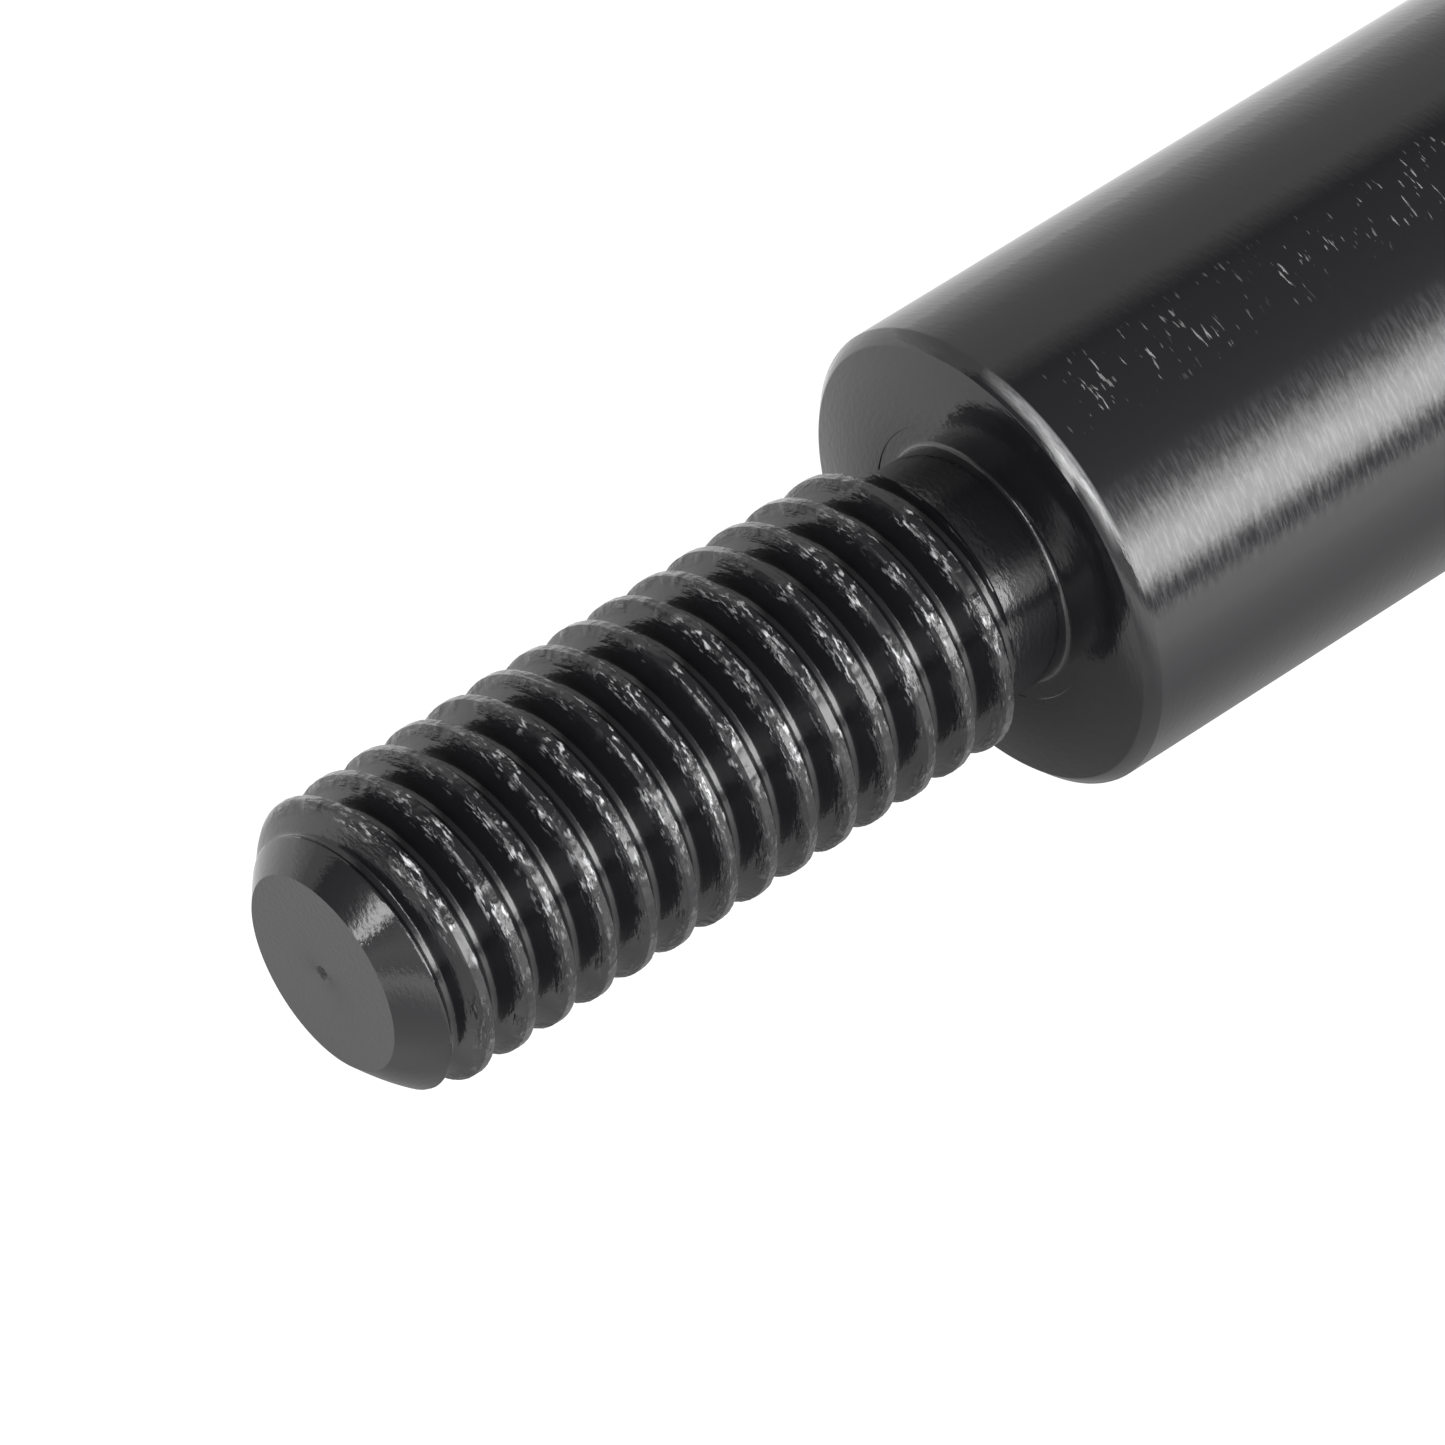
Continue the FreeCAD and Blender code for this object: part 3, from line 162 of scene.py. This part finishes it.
def add_studio_light():
    """White surroundings with a tall softbox and a grey flag along the screw."""
    world = bpy.data.worlds.new("studio")
    bpy.context.scene.world = world
    world.use_nodes = True
    tree = world.node_tree
    tree.nodes.clear()
    _, _, back = view_axes()
    facing = Vector((0, back.y, back.z)).normalized()
    sideways = Vector((-1, 0, 0)).cross(facing)
    direction = node(tree, "ShaderNodeTexCoord").outputs["Generated"]
    parts = []
    for axis in (sideways, facing):
        dot = node(tree, "ShaderNodeVectorMath", {0: direction, 1: axis}, operation="DOT_PRODUCT")
        parts.append(dot.outputs["Value"])
    around = math_node(tree, "ARCTAN2", *parts)
    split = node(tree, "ShaderNodeSeparateXYZ", {0: direction}).outputs
    endwise = node(tree, "ShaderNodeMapRange", {
        "Value": split["X"], "From Min": SLANT_FROM, "From Max": SLANT_TO,
        "To Min": 0.0, "To Max": SOFTBOX_SLANT}).outputs[0]
    angle = math_node(tree, "SUBTRACT", around, endwise)
    share = math_node(tree, "MULTIPLY_ADD", angle, 0.5 / math.pi, 0.5)
    ramp = node(tree, "ShaderNodeValToRGB", {"Fac": share})
    fill_ramp(ramp, STUDIO_LIGHT, -180, 180, STUDIO_PEAK)
    strength = math_node(tree, "MULTIPLY", ramp.outputs["Color"], STUDIO_PEAK)
    sky = node(tree, "ShaderNodeBackground", {"Color": (1, 1, 1, 1), "Strength": strength})
    out = node(tree, "ShaderNodeOutputWorld")
    tree.links.new(sky.outputs[0], out.inputs["Surface"])


FLOOR_GLOW = 0.78
FLOOR_ALBEDO = 0.25
FLOOR_REACH = 4.0
FLOOR_GAP = 0.05 * MM
OPEN_FLOOR_BOUNCE = 1.03
TIP_FADE_FAR = 16 * MM
TIP_FADE_NEAR = 6 * MM

# What the floor throws back into the metal, across the screw: (metres along Y, radiance). The low
# values round Y = 0 are a painted shadow of the screw.
# Tuned against the photograph too. The camera sees a plain white floor instead.
FLOOR_BOUNCE = (
    (-0.60, 0.9),
    (-0.30, 1.9),
    (-0.17, 2.5),
    (-0.0935, 2.1),
    (-0.062, 1.44),
    (-0.034, 0.85),
    (-0.009, 0.76),
    (0.0, 0.53),
    (0.0085, 0.37),
    (0.0186, 0.24),
    (0.0255, 0.85),
    (0.044, 1.18),
    (0.091, 1.5),
    (0.60, 1.7),
)
BOUNCE_PEAK = max(level for _, level in FLOOR_BOUNCE)


def fill_ramp(ramp, stops, low, high, peak):
    """Set a colour ramp to grey levels at places between low and high."""
    elements = ramp.color_ramp.elements
    while len(elements) < len(stops):
        elements.new(0.5)
    for element, (place, _) in zip(elements, stops):
        element.position = (place - low) / (high - low)
    for element, (_, level) in zip(elements, stops):
        shade = level / peak
        element.color = (shade, shade, shade, 1)


def floor_material():
    """White to the camera; what the metal mirrors is shaded across the screw."""
    material = bpy.data.materials.new("floor_white")
    material.use_nodes = True
    tree = material.node_tree
    shader = tree.nodes["Principled BSDF"]
    shader.inputs["Roughness"].default_value = 0.9
    shader.inputs["Specular IOR Level"].default_value = 0.0
    shader.inputs["Emission Color"].default_value = (1, 1, 1, 1)
    place = node(tree, "ShaderNodeNewGeometry").outputs["Position"]
    split = node(tree, "ShaderNodeSeparateXYZ", {0: place}).outputs
    low, high = FLOOR_BOUNCE[0][0], FLOOR_BOUNCE[-1][0]
    share = node(tree, "ShaderNodeMapRange", {
        "Value": split["Y"], "From Min": low, "From Max": high}).outputs[0]
    ramp = node(tree, "ShaderNodeValToRGB", {"Fac": share})
    fill_ramp(ramp, FLOOR_BOUNCE, low, high, BOUNCE_PEAK)
    shaded = math_node(tree, "MULTIPLY", ramp.outputs["Color"], BOUNCE_PEAK)
    beyond_tip = node(tree, "ShaderNodeMapRange", {
        "Value": split["X"], "From Min": TIP_X - TIP_FADE_FAR,
        "From Max": TIP_X - TIP_FADE_NEAR}).outputs[0]
    open_floor = math_node(tree, "MAXIMUM", shaded, OPEN_FLOOR_BOUNCE)
    bounce = node(tree, "ShaderNodeMix", {"Factor": beyond_tip, "A": open_floor, "B": shaded})
    seen = node(tree, "ShaderNodeLightPath").outputs["Is Camera Ray"]
    glow = node(tree, "ShaderNodeMix", {
        "Factor": seen, "A": bounce.outputs["Result"], "B": FLOOR_GLOW})
    tree.links.new(glow.outputs["Result"], shader.inputs["Emission Strength"])
    albedo = math_node(tree, "MULTIPLY", seen, FLOOR_ALBEDO)
    tree.links.new(albedo, shader.inputs["Base Color"])
    return material


def add_floor():
    """A wide white floor under the object."""
    reach = FLOOR_REACH
    mesh = bpy.data.meshes.new("floor")
    mesh.from_pydata(
        [(-reach, -reach, 0), (reach, -reach, 0), (reach, reach, 0), (-reach, reach, 0)],
        [], [(0, 1, 2, 3)])
    floor = bpy.data.objects.new("floor", mesh)
    floor.location.z = CAD_BOX[0][2] - FLOOR_GAP
    bpy.context.collection.objects.link(floor)
    mesh.materials.append(floor_material())


# ---- Screw shaft mesh ------------------------------------------------------------------------

class Skin:
    """Collects vertices and faces for a surface built round the screw's axis."""

    def __init__(self):
        self.points = []
        self.faces = []

    def row(self, stations, radii):
        """One loop of vertices; returns the index of its first vertex."""
        start = len(self.points)
        for column, (x, r) in enumerate(zip(stations, radii)):
            angle = 2 * math.pi * column / COLUMNS
            self.points.append((x, r * math.cos(angle), AXIS_HEIGHT + r * math.sin(angle)))
        return start

    def ring(self, x, r):
        """A round loop of vertices; returns the index of its first vertex."""
        return self.row([x] * COLUMNS, [r] * COLUMNS)

    def join(self, first, second):
        """Quads between two closed loops."""
        for column in range(COLUMNS):
            following = (column + 1) % COLUMNS
            self.faces.append((first + column, first + following,
                               second + following, second + column))

    def turned(self, profile):
        """Lathe-turned surface through (station, radius) points, ends open."""
        previous = None
        for x, r in profile:
            current = self.ring(x, r)
            if previous is not None:
                self.join(previous, current)
            previous = current

    def disc(self, x_centre, x, r, inward):
        """A fan from a centre point out to a ring."""
        centre = len(self.points)
        self.points.append((x_centre, 0, AXIS_HEIGHT))
        ring = self.ring(x, r)
        for column in range(COLUMNS):
            following = (column + 1) % COLUMNS
            pair = (ring + column, ring + following)
            self.faces.append((centre,) + (pair if inward else pair[::-1]))

    def threaded(self, x0, x1, pitch, phase, steps, radius_at):
        """A helical surface whose rows follow the thread; radius_at(share, x, turn) shapes it."""
        turns = math.ceil((x1 - x0) / pitch) + 2
        count = turns * steps
        rows = []
        for index in range(count + 1):
            start = x0 - pitch + (index / steps) * pitch
            share = ((start - phase) / pitch) % 1.0
            stations = []
            radii = []
            for column in range(COLUMNS):
                x = start + pitch * column / COLUMNS
                x = min(max(x, x0), x1)
                stations.append(x)
                radii.append(radius_at(share, x, 2 * math.pi * column / COLUMNS))
            rows.append(self.row(stations, radii))
        for index in range(count):
            first, second = rows[index], rows[index + 1]
            for column in range(COLUMNS - 1):
                self.faces.append((first + column, first + column + 1,
                                   second + column + 1, second + column))
            wrapped = rows[min(index + steps, count)]
            wrapped_next = rows[min(index + 1 + steps, count)]
            last = COLUMNS - 1
            self.faces.append((first + last, wrapped, wrapped_next, second + last))

    def build(self, name, sharp_degrees):
        """Weld the loops into one closed mesh object."""
        mesh = bpy.data.meshes.new(name)
        mesh.from_pydata(self.points, [], self.faces)
        work = bmesh.new()
        work.from_mesh(mesh)
        bmesh.ops.remove_doubles(work, verts=work.verts, dist=1e-7)
        bmesh.ops.dissolve_degenerate(work, edges=work.edges, dist=1e-8)
        bmesh.ops.recalc_face_normals(work, faces=work.faces)
        work.to_mesh(mesh)
        work.free()
        mesh.shade_smooth()
        mesh.set_sharp_from_angle(angle=math.radians(sharp_degrees))
        piece = bpy.data.objects.new(name, mesh)
        bpy.context.collection.objects.link(piece)
        return piece


STUD_CREST = 3.925 * MM
STUD_ROOT = 3.24 * MM
STUD_PITCH = 1.25 * MM
STUD_CREST_FLAT = 0.27 * MM
STUD_TIP = 2.635 * MM
RELIEF_RADIUS = 3.2 * MM
RELIEF_LENGTH = 1.7 * MM
RELIEF_BEVEL = 0.6 * MM
RELIEF_FILLET = 0.12 * MM
RELIEF_STEP = 0.03 * MM
RELIEF_STEP_RADIUS = 3.74 * MM
TIP_BULGE = 0.07 * MM
STUD_CREST_STATION = -166.117 * MM


def smooth_min(a, b, width):
    """The smaller of two values, blended over a small width."""
    mix = max(0.0, min(1.0, 0.5 + 0.5 * (b - a) / width))
    return b * (1 - mix) + a * mix - width * mix * (1 - mix)


def vee_radius(share, pitch, crest, root, crest_flat):
    """Radius of a 60 degree thread at a share of its pitch; share 0 is the crest's middle."""
    away = abs(share - round(share)) * pitch
    flank = crest - (away - crest_flat / 2) / math.tan(math.radians(30))
    ridge = smooth_min(crest, flank, 0.05 * MM)
    return -smooth_min(-ridge, -root, 0.08 * MM)


def stud_radius(share, x, angle):
    """The stud's V thread inside its chamfered tip and relief bevel, with rough crests."""
    thread = vee_radius(share, STUD_PITCH, STUD_CREST, STUD_ROOT, STUD_CREST_FLAT)
    spot = Vector((x * 9000, math.cos(angle) * 34, math.sin(angle) * 34))
    height = max(0.0, (thread - STUD_ROOT) / (STUD_CREST - STUD_ROOT))
    thread += 0.012 * MM * height ** 3 * noise.noise(spot)
    rise = (x - TIP_X) / (STUD_CREST - STUD_TIP)
    tip = STUD_TIP + (x - TIP_X) + TIP_BULGE * math.sin(math.pi * min(1.0, rise))
    relief_edge = SHOULDER_X - RELIEF_LENGTH
    relief = RELIEF_RADIUS + (relief_edge - x) * (STUD_CREST - RELIEF_RADIUS) / RELIEF_BEVEL
    return min(smooth_min(thread, tip, 0.08 * MM), max(relief, RELIEF_RADIUS))


BALL_RADIUS_AT = 6.45 * MM
GROOVE_RADIUS = 1.26 * MM
LEAD = 5.0 * MM
THREAD_END_X = -14.5 * MM
THREAD_START_X = -139.5 * MM
GROOVE_STATION = -99.75 * MM
RUN_IN_LENGTH = 3.2 * MM
RUN_IN_FADE = 1.2 * MM
RUN_OUT_LENGTH = 2.0 * MM
RUN_OUT_FADE = 1.0 * MM
RUN_LIFT = 0.6 * MM


def ball_thread_radius(share, x, angle):
    """The screw's round ball groove, fading out at both ends of the thread."""
    away = abs(share - round(share)) * LEAD
    depth = GROOVE_RADIUS ** 2 - away ** 2
    run_in = (THREAD_START_X + RUN_IN_LENGTH - x) / RUN_IN_FADE
    run_out = (x - THREAD_END_X + RUN_OUT_LENGTH) / RUN_OUT_FADE
    lift = max(0.0, run_in, run_out) ** 2 * RUN_LIFT
    if depth <= 0:
        return SHANK_RADIUS
    groove = BALL_RADIUS_AT - math.sqrt(depth) + lift
    return smooth_min(SHANK_RADIUS, groove, 0.06 * MM)


JOURNAL_RADIUS = 5.0 * MM
JOURNAL_END_X = 17.5 * MM
LOCK_END_X = 27.0 * MM
SHAFT_END_X = SHAFT_HIGH[0]
LOCK_PITCH = 1.0 * MM
LOCK_CREST = 4.95 * MM
LOCK_ROOT = 4.4 * MM
LOCK_CREST_FLAT = 0.12 * MM
LOCK_BEVEL_RADIUS = 4.3 * MM
DRIVE_RADIUS = 4.0 * MM
END_CHAMFER = 0.5 * MM
CENTRE_HOLE_RADIUS = 1.0 * MM
CENTRE_PIN_RADIUS = 0.3 * MM
CENTRE_CONE_DEPTH = 1.7 * MM
CENTRE_HOLE_DEPTH = 2.0 * MM
TIP_MARK_RADIUS = 0.2 * MM
TIP_MARK_DEPTH = 0.16 * MM
SHOULDER_CHAMFER = 0.3 * MM
SHOULDER_ROUNDING = 0.04 * MM


def lock_thread_radius(share, x, angle):
    """The fine thread for the lock nut."""
    thread = vee_radius(share, LOCK_PITCH, LOCK_CREST, LOCK_ROOT, LOCK_CREST_FLAT)
    bevel = LOCK_BEVEL_RADIUS + min(x - JOURNAL_END_X, LOCK_END_X - x)
    return min(thread, bevel)


def build_shaft():
    """The whole screw shaft, closed from its stud tip to its drive end."""
    skin = Skin()
    skin.disc(TIP_X + TIP_MARK_DEPTH, TIP_X, TIP_MARK_RADIUS, True)
    skin.turned([(TIP_X, TIP_MARK_RADIUS), (TIP_X, STUD_TIP - 0.06 * MM), (TIP_X, STUD_TIP)])
    relief_edge = SHOULDER_X - RELIEF_LENGTH
    skin.threaded(TIP_X, relief_edge, STUD_PITCH, STUD_CREST_STATION, 36, stud_radius)
    corner = SHOULDER_X + RELIEF_STEP
    fillet = [
        (corner - RELIEF_FILLET * (1 - math.sin(turn)),
         RELIEF_RADIUS + RELIEF_FILLET * (1 - math.cos(turn)))
        for turn in (math.pi / 2 * step / 8 for step in range(9))
    ]
    fillet += [
        (corner, RELIEF_RADIUS + 2 * RELIEF_FILLET),
        (corner, RELIEF_STEP_RADIUS - 0.015 * MM),
        (SHOULDER_X, RELIEF_STEP_RADIUS),
        (SHOULDER_X, RELIEF_STEP_RADIUS + 0.1 * MM),
    ]
    chamfer = SHOULDER_CHAMFER
    rounding = SHOULDER_ROUNDING
    skin.turned([(relief_edge, RELIEF_RADIUS)] + fillet + [
        (SHOULDER_X, SHANK_RADIUS - chamfer - rounding),
        (SHOULDER_X + rounding / 2, SHANK_RADIUS - chamfer),
        (SHOULDER_X + chamfer, SHANK_RADIUS - rounding / 3),
        (SHOULDER_X + chamfer + rounding, SHANK_RADIUS),
        (THREAD_START_X, SHANK_RADIUS),
    ])
    skin.threaded(THREAD_START_X, THREAD_END_X - END_CHAMFER, LEAD, GROOVE_STATION, 40,
                  ball_thread_radius)
    skin.turned([
        (THREAD_END_X - END_CHAMFER, SHANK_RADIUS),
        (THREAD_END_X, SHANK_RADIUS - END_CHAMFER),
        (THREAD_END_X, JOURNAL_RADIUS),
        (JOURNAL_END_X - 0.02 * MM, JOURNAL_RADIUS),
        (JOURNAL_END_X, LOCK_BEVEL_RADIUS),
    ])
    skin.threaded(JOURNAL_END_X, LOCK_END_X, LOCK_PITCH, 0.0, 16, lock_thread_radius)
    skin.turned([
        (LOCK_END_X, LOCK_BEVEL_RADIUS),
        (LOCK_END_X, DRIVE_RADIUS),
        (SHAFT_END_X - END_CHAMFER, DRIVE_RADIUS),
        (SHAFT_END_X, DRIVE_RADIUS - END_CHAMFER),
        (SHAFT_END_X, CENTRE_HOLE_RADIUS),
        (SHAFT_END_X - CENTRE_CONE_DEPTH, CENTRE_PIN_RADIUS),
    ])
    skin.disc(SHAFT_END_X - CENTRE_HOLE_DEPTH, SHAFT_END_X - CENTRE_CONE_DEPTH,
              CENTRE_PIN_RADIUS, False)
    shaft = skin.build("shaft_surface", 32)
    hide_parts("screw_shaft")
    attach(shaft, "screw")
    return shaft


# ---- Materials -------------------------------------------------------------------------------

def new_material(name):
    """A node material and its principled shader."""
    material = bpy.data.materials.new(name)
    material.use_nodes = True
    return material, material.node_tree, material.node_tree.nodes["Principled BSDF"]


def lathe_coordinates(tree):
    """Place, station, radius and the direction round the screw's axis (its cosine and sine)."""
    place = node(tree, "ShaderNodeTexCoord").outputs["Object"]
    split = node(tree, "ShaderNodeSeparateXYZ", {0: place}).outputs
    up = math_node(tree, "SUBTRACT", split["Z"], AXIS_HEIGHT)
    squares = math_node(tree, "ADD", math_node(tree, "MULTIPLY", split["Y"], split["Y"]),
                        math_node(tree, "MULTIPLY", up, up))
    radius = math_node(tree, "SQRT", squares)
    across = math_node(tree, "DIVIDE", split["Y"], radius)
    rise = math_node(tree, "DIVIDE", up, radius)
    return place, split["X"], radius, across, rise


def turned_space(tree, along, radius, across, rise, fine, coarse):
    """A space in which plain noise comes out as marks that run round the axis."""
    return node(tree, "ShaderNodeCombineXYZ", {
        "X": math_node(tree, "MULTIPLY", math_node(tree, "ADD", along, radius), fine),
        "Y": math_node(tree, "MULTIPLY", across, coarse),
        "Z": math_node(tree, "MULTIPLY", rise, coarse),
    }).outputs[0]


def ease(tree, source, low, high, to_low=0.0, to_high=1.0):
    """A clamped ramp of a socket from low to high."""
    return node(tree, "ShaderNodeMapRange", {
        "Value": source, "From Min": low, "From Max": high,
        "To Min": to_low, "To Max": to_high}).outputs[0]


def product(tree, *sources):
    """All the sources multiplied together."""
    total = sources[0]
    for source in sources[1:]:
        total = math_node(tree, "MULTIPLY", total, source)
    return total


def facing(tree, across, rise, angle):
    """Cosine of the angle between a spot's direction from the axis and a given direction."""
    return math_node(tree, "ADD", product(tree, across, math.cos(angle)),
                     product(tree, rise, math.sin(angle)))


# Where light marks are painted on the shaft, as angles about its axis. They were chosen where the
# photograph shows highlights: the shoulder edge is a painted highlight, the brushed band is a
# painted highlight in brushing streaks, and the crest wear is painted brighter on one side as a
# glint.
SCUFF_ANGLE = math.radians(106)
CREST_GLINT_ANGLE = math.radians(118)
EDGE_HIGHLIGHT_ANGLE = math.radians(114)
BRUSHED_HIGHLIGHT_ANGLE = math.radians(143)
WEAR_AND_GLINT_STRENGTH = 0.62
SCUFF_STRENGTH = 0.22
EDGE_HIGHLIGHT_STRENGTH = 0.30
BRUSHED_HIGHLIGHT_STRENGTH = 0.05
OXIDE_BLACK = (0.006, 0.006, 0.007, 1)
BARE_STEEL_AND_HIGHLIGHT = (0.75, 0.75, 0.76, 1)
HAIRLINE_DEPTH = 0.010 * MM
PIT_DEPTH = 0.05 * MM
NICK_DEPTH = 0.02 * MM


def black_oxide_material():
    """Glossy black with lighter crest wear and scuffs; painted highlights on crests, shoulder edge,
    brushed band.
    """
    material, tree, shader = new_material("black_oxide_steel")
    place, along, radius, across, rise = lathe_coordinates(tree)
    lathe = (along, radius, across, rise)
    brush = node(tree, "ShaderNodeTexNoise", {
        "Vector": turned_space(tree, *lathe, 9000, 16), "Scale": 1.0, "Detail": 3.0})
    mottle = node(tree, "ShaderNodeTexNoise", {"Vector": place, "Scale": 900.0, "Detail": 4.0})
    on_stud = product(tree, math_node(tree, "LESS_THAN", along, SHOULDER_X - RELIEF_LENGTH),
                      math_node(tree, "LESS_THAN", radius, STUD_CREST + 0.05 * MM))
    crest = product(tree, ease(tree, radius, STUD_CREST - 0.30 * MM, STUD_CREST - 0.12 * MM),
                    on_stud)
    grit = node(tree, "ShaderNodeTexNoise", {
        "Vector": turned_space(tree, *lathe, 8500, 11), "Scale": 1.0, "Detail": 3.0,
        "Roughness": 0.6})
    patch = node(tree, "ShaderNodeTexNoise", {"Vector": place, "Scale": 1100.0, "Detail": 2.0})
    # Crest wear: faint all round, and painted much brighter on one side as a highlight glint.
    wear_and_glint_side = ease(tree, facing(tree, across, rise, CREST_GLINT_ANGLE), 0.70, 0.93, 0.12, 1.0)
    rubbed = product(tree, crest, ease(tree, patch.outputs["Fac"], 0.40, 0.56))
    crest_wear_and_glint = product(tree, rubbed, ease(tree, grit.outputs["Fac"], 0.54, 0.68), wear_and_glint_side)
    # Painted highlight: a lighter stripe on one side of the shoulder chamfer, where a reflection
    # falls.
    at_edge = product(tree, ease(tree, along, SHOULDER_X + 0.38 * MM, SHOULDER_X + 0.30 * MM),
                      ease(tree, radius, SHANK_RADIUS - 0.24 * MM, SHANK_RADIUS - 0.12 * MM))
    edge_highlight_side = ease(tree, facing(tree, across, rise, EDGE_HIGHLIGHT_ANGLE), 0.89, 0.99)
    painted_edge_highlight = product(tree, at_edge, edge_highlight_side,
                        ease(tree, grit.outputs["Fac"], 0.30, 0.60, 0.35, 1.0))
    scuffs = node(tree, "ShaderNodeTexNoise", {
        "Vector": turned_space(tree, *lathe, 11000, 13), "Scale": 1.0, "Detail": 1.0})
    clump = node(tree, "ShaderNodeTexNoise", {"Vector": place, "Scale": 420.0, "Detail": 1.0})
    scuffed = product(tree, ease(tree, facing(tree, across, rise, SCUFF_ANGLE), 0.985, 0.996),
                      math_node(tree, "GREATER_THAN", along, SHOULDER_X + 0.4 * MM),
                      ease(tree, clump.outputs["Fac"], 0.42, 0.55),
                      ease(tree, scuffs.outputs["Fac"], 0.66, 0.73))
    # Painted highlight: lighter brushing streaks in a band along one side of the shank, where a
    # reflection falls.
    hatch = node(tree, "ShaderNodeTexNoise", {
        "Vector": turned_space(tree, *lathe, 13000, 12), "Scale": 1.0, "Detail": 2.0})
    painted_brushed_highlight = product(tree, math_node(tree, "GREATER_THAN", along, SHOULDER_X + 0.3 * MM),
                      ease(tree, facing(tree, across, rise, BRUSHED_HIGHLIGHT_ANGLE), 0.955, 0.995),
                      ease(tree, hatch.outputs["Fac"], 0.42, 0.68))
    # Wear, scuffs and the painted highlights, each mixed from black towards bare steel.
    light = math_node(tree, "MAXIMUM", product(tree, crest_wear_and_glint, WEAR_AND_GLINT_STRENGTH),
                      product(tree, scuffed, SCUFF_STRENGTH))
    for mark, strength in ((painted_edge_highlight, EDGE_HIGHLIGHT_STRENGTH), (painted_brushed_highlight, BRUSHED_HIGHLIGHT_STRENGTH)):
        light = math_node(tree, "MAXIMUM", light, product(tree, mark, strength))
    colour = node(tree, "ShaderNodeMix", {
        "Factor": light, "A": OXIDE_BLACK, "B": BARE_STEEL_AND_HIGHLIGHT},
        data_type="RGBA")
    tree.links.new(colour.outputs["Result"], shader.inputs["Base Color"])
    sheen = ease(tree, brush.outputs["Fac"], 0.3, 0.7, 0.04, 0.14)
    rough_crest = product(tree, crest, ease(tree, mottle.outputs["Fac"], 0.35, 0.65, 0.0, 0.14))
    tree.links.new(math_node(tree, "ADD", sheen, rough_crest), shader.inputs["Roughness"])
    hairlines = node(tree, "ShaderNodeBump", {
        "Strength": 0.7, "Distance": HAIRLINE_DEPTH, "Height": brush.outputs["Fac"]})
    crust = product(tree, grit.outputs["Fac"], rubbed)
    pits = node(tree, "ShaderNodeBump", {
        "Strength": 1.0, "Distance": PIT_DEPTH, "Height": crust, "Normal": hairlines.outputs[0]})
    nicks = node(tree, "ShaderNodeBump", {
        "Strength": 1.0, "Distance": NICK_DEPTH, "Height": scuffed, "Normal": pits.outputs[0]})
    tree.links.new(nicks.outputs[0], shader.inputs["Normal"])
    return material


def plain_finish(name, colour, metallic, roughness, spread, scale, bump_depth):
    """Metal, plastic or rubber with patchy gloss, faint colour change and a fine grain."""
    material, tree, shader = new_material(name)
    place = node(tree, "ShaderNodeTexCoord").outputs["Object"]
    grain = node(tree, "ShaderNodeTexNoise", {"Vector": place, "Scale": scale, "Detail": 5.0})
    cloud = node(tree, "ShaderNodeTexNoise", {"Vector": place, "Scale": scale / 25, "Detail": 3.0})
    tone = node(tree, "ShaderNodeMapRange", {
        "Value": cloud.outputs["Fac"], "From Min": 0.3, "From Max": 0.7,
        "To Min": 0.85, "To Max": 1.12})
    shade = node(tree, "ShaderNodeVectorMath", {0: colour, "Scale": tone.outputs[0]},
                 operation="SCALE")
    tree.links.new(shade.outputs[0], shader.inputs["Base Color"])
    shader.inputs["Metallic"].default_value = metallic
    rough = node(tree, "ShaderNodeMapRange", {
        "Value": grain.outputs["Fac"], "From Min": 0.3, "From Max": 0.7,
        "To Min": roughness - spread, "To Max": roughness + spread})
    tree.links.new(rough.outputs[0], shader.inputs["Roughness"])
    bump = node(tree, "ShaderNodeBump", {
        "Strength": 0.6, "Distance": bump_depth, "Height": grain.outputs["Fac"]})
    tree.links.new(bump.outputs[0], shader.inputs["Normal"])
    return material


# Slot: colour, metallic, roughness, its spread, grain scale, grain depth in metres.
FINISHES = {
    "nut_steel": ((0.17, 0.17, 0.174), 1.0, 0.47, 0.05, 3000, 2e-6),
    "bright_steel": ((0.36, 0.36, 0.37), 1.0, 0.18, 0.04, 4000, 8e-7),
    "ball_steel": ((0.5, 0.5, 0.51), 1.0, 0.08, 0.02, 4000, 3e-7),
    "sheet_steel": ((0.30, 0.30, 0.295), 1.0, 0.34, 0.08, 2500, 3e-6),
    "screw_steel": ((0.03, 0.03, 0.032), 0.2, 0.3, 0.08, 3000, 3e-6),
    "wiper_plastic": ((0.50, 0.47, 0.40), 0.0, 0.5, 0.08, 2500, 4e-6),
    "nipple_brass": ((0.40, 0.27, 0.09), 1.0, 0.30, 0.06, 3000, 2e-6),
    "block_oxide": ((0.022, 0.022, 0.024), 0.1, 0.32, 0.06, 2500, 4e-6),
    "cage_resin": ((0.34, 0.18, 0.08), 0.0, 0.45, 0.08, 2500, 3e-6),
    "seal_rubber": ((0.02, 0.02, 0.02), 0.0, 0.55, 0.08, 2500, 4e-6),
}


def build_materials():
    """One material for each slot of the record."""
    made = {"black_oxide_steel": black_oxide_material()}
    for slot, finish in FINISHES.items():
        made[slot] = plain_finish(slot, *finish)
    return made


def paint(materials):
    """Give every CAD node the material of its slot."""
    for entry in frame["record"]["subparts"]:
        thing = frame["nodes"][entry["node"]]
        thing.data.materials.clear()
        thing.data.materials.append(materials[entry["material_slot"]])


# ---- Build -----------------------------------------------------------------------------------

add_camera()
add_studio_light()
add_floor()
bpy.context.scene.view_settings.view_transform = "Standard"
materials = build_materials()
paint(materials)
shaft = build_shaft()
shaft.data.materials.append(materials["black_oxide_steel"])
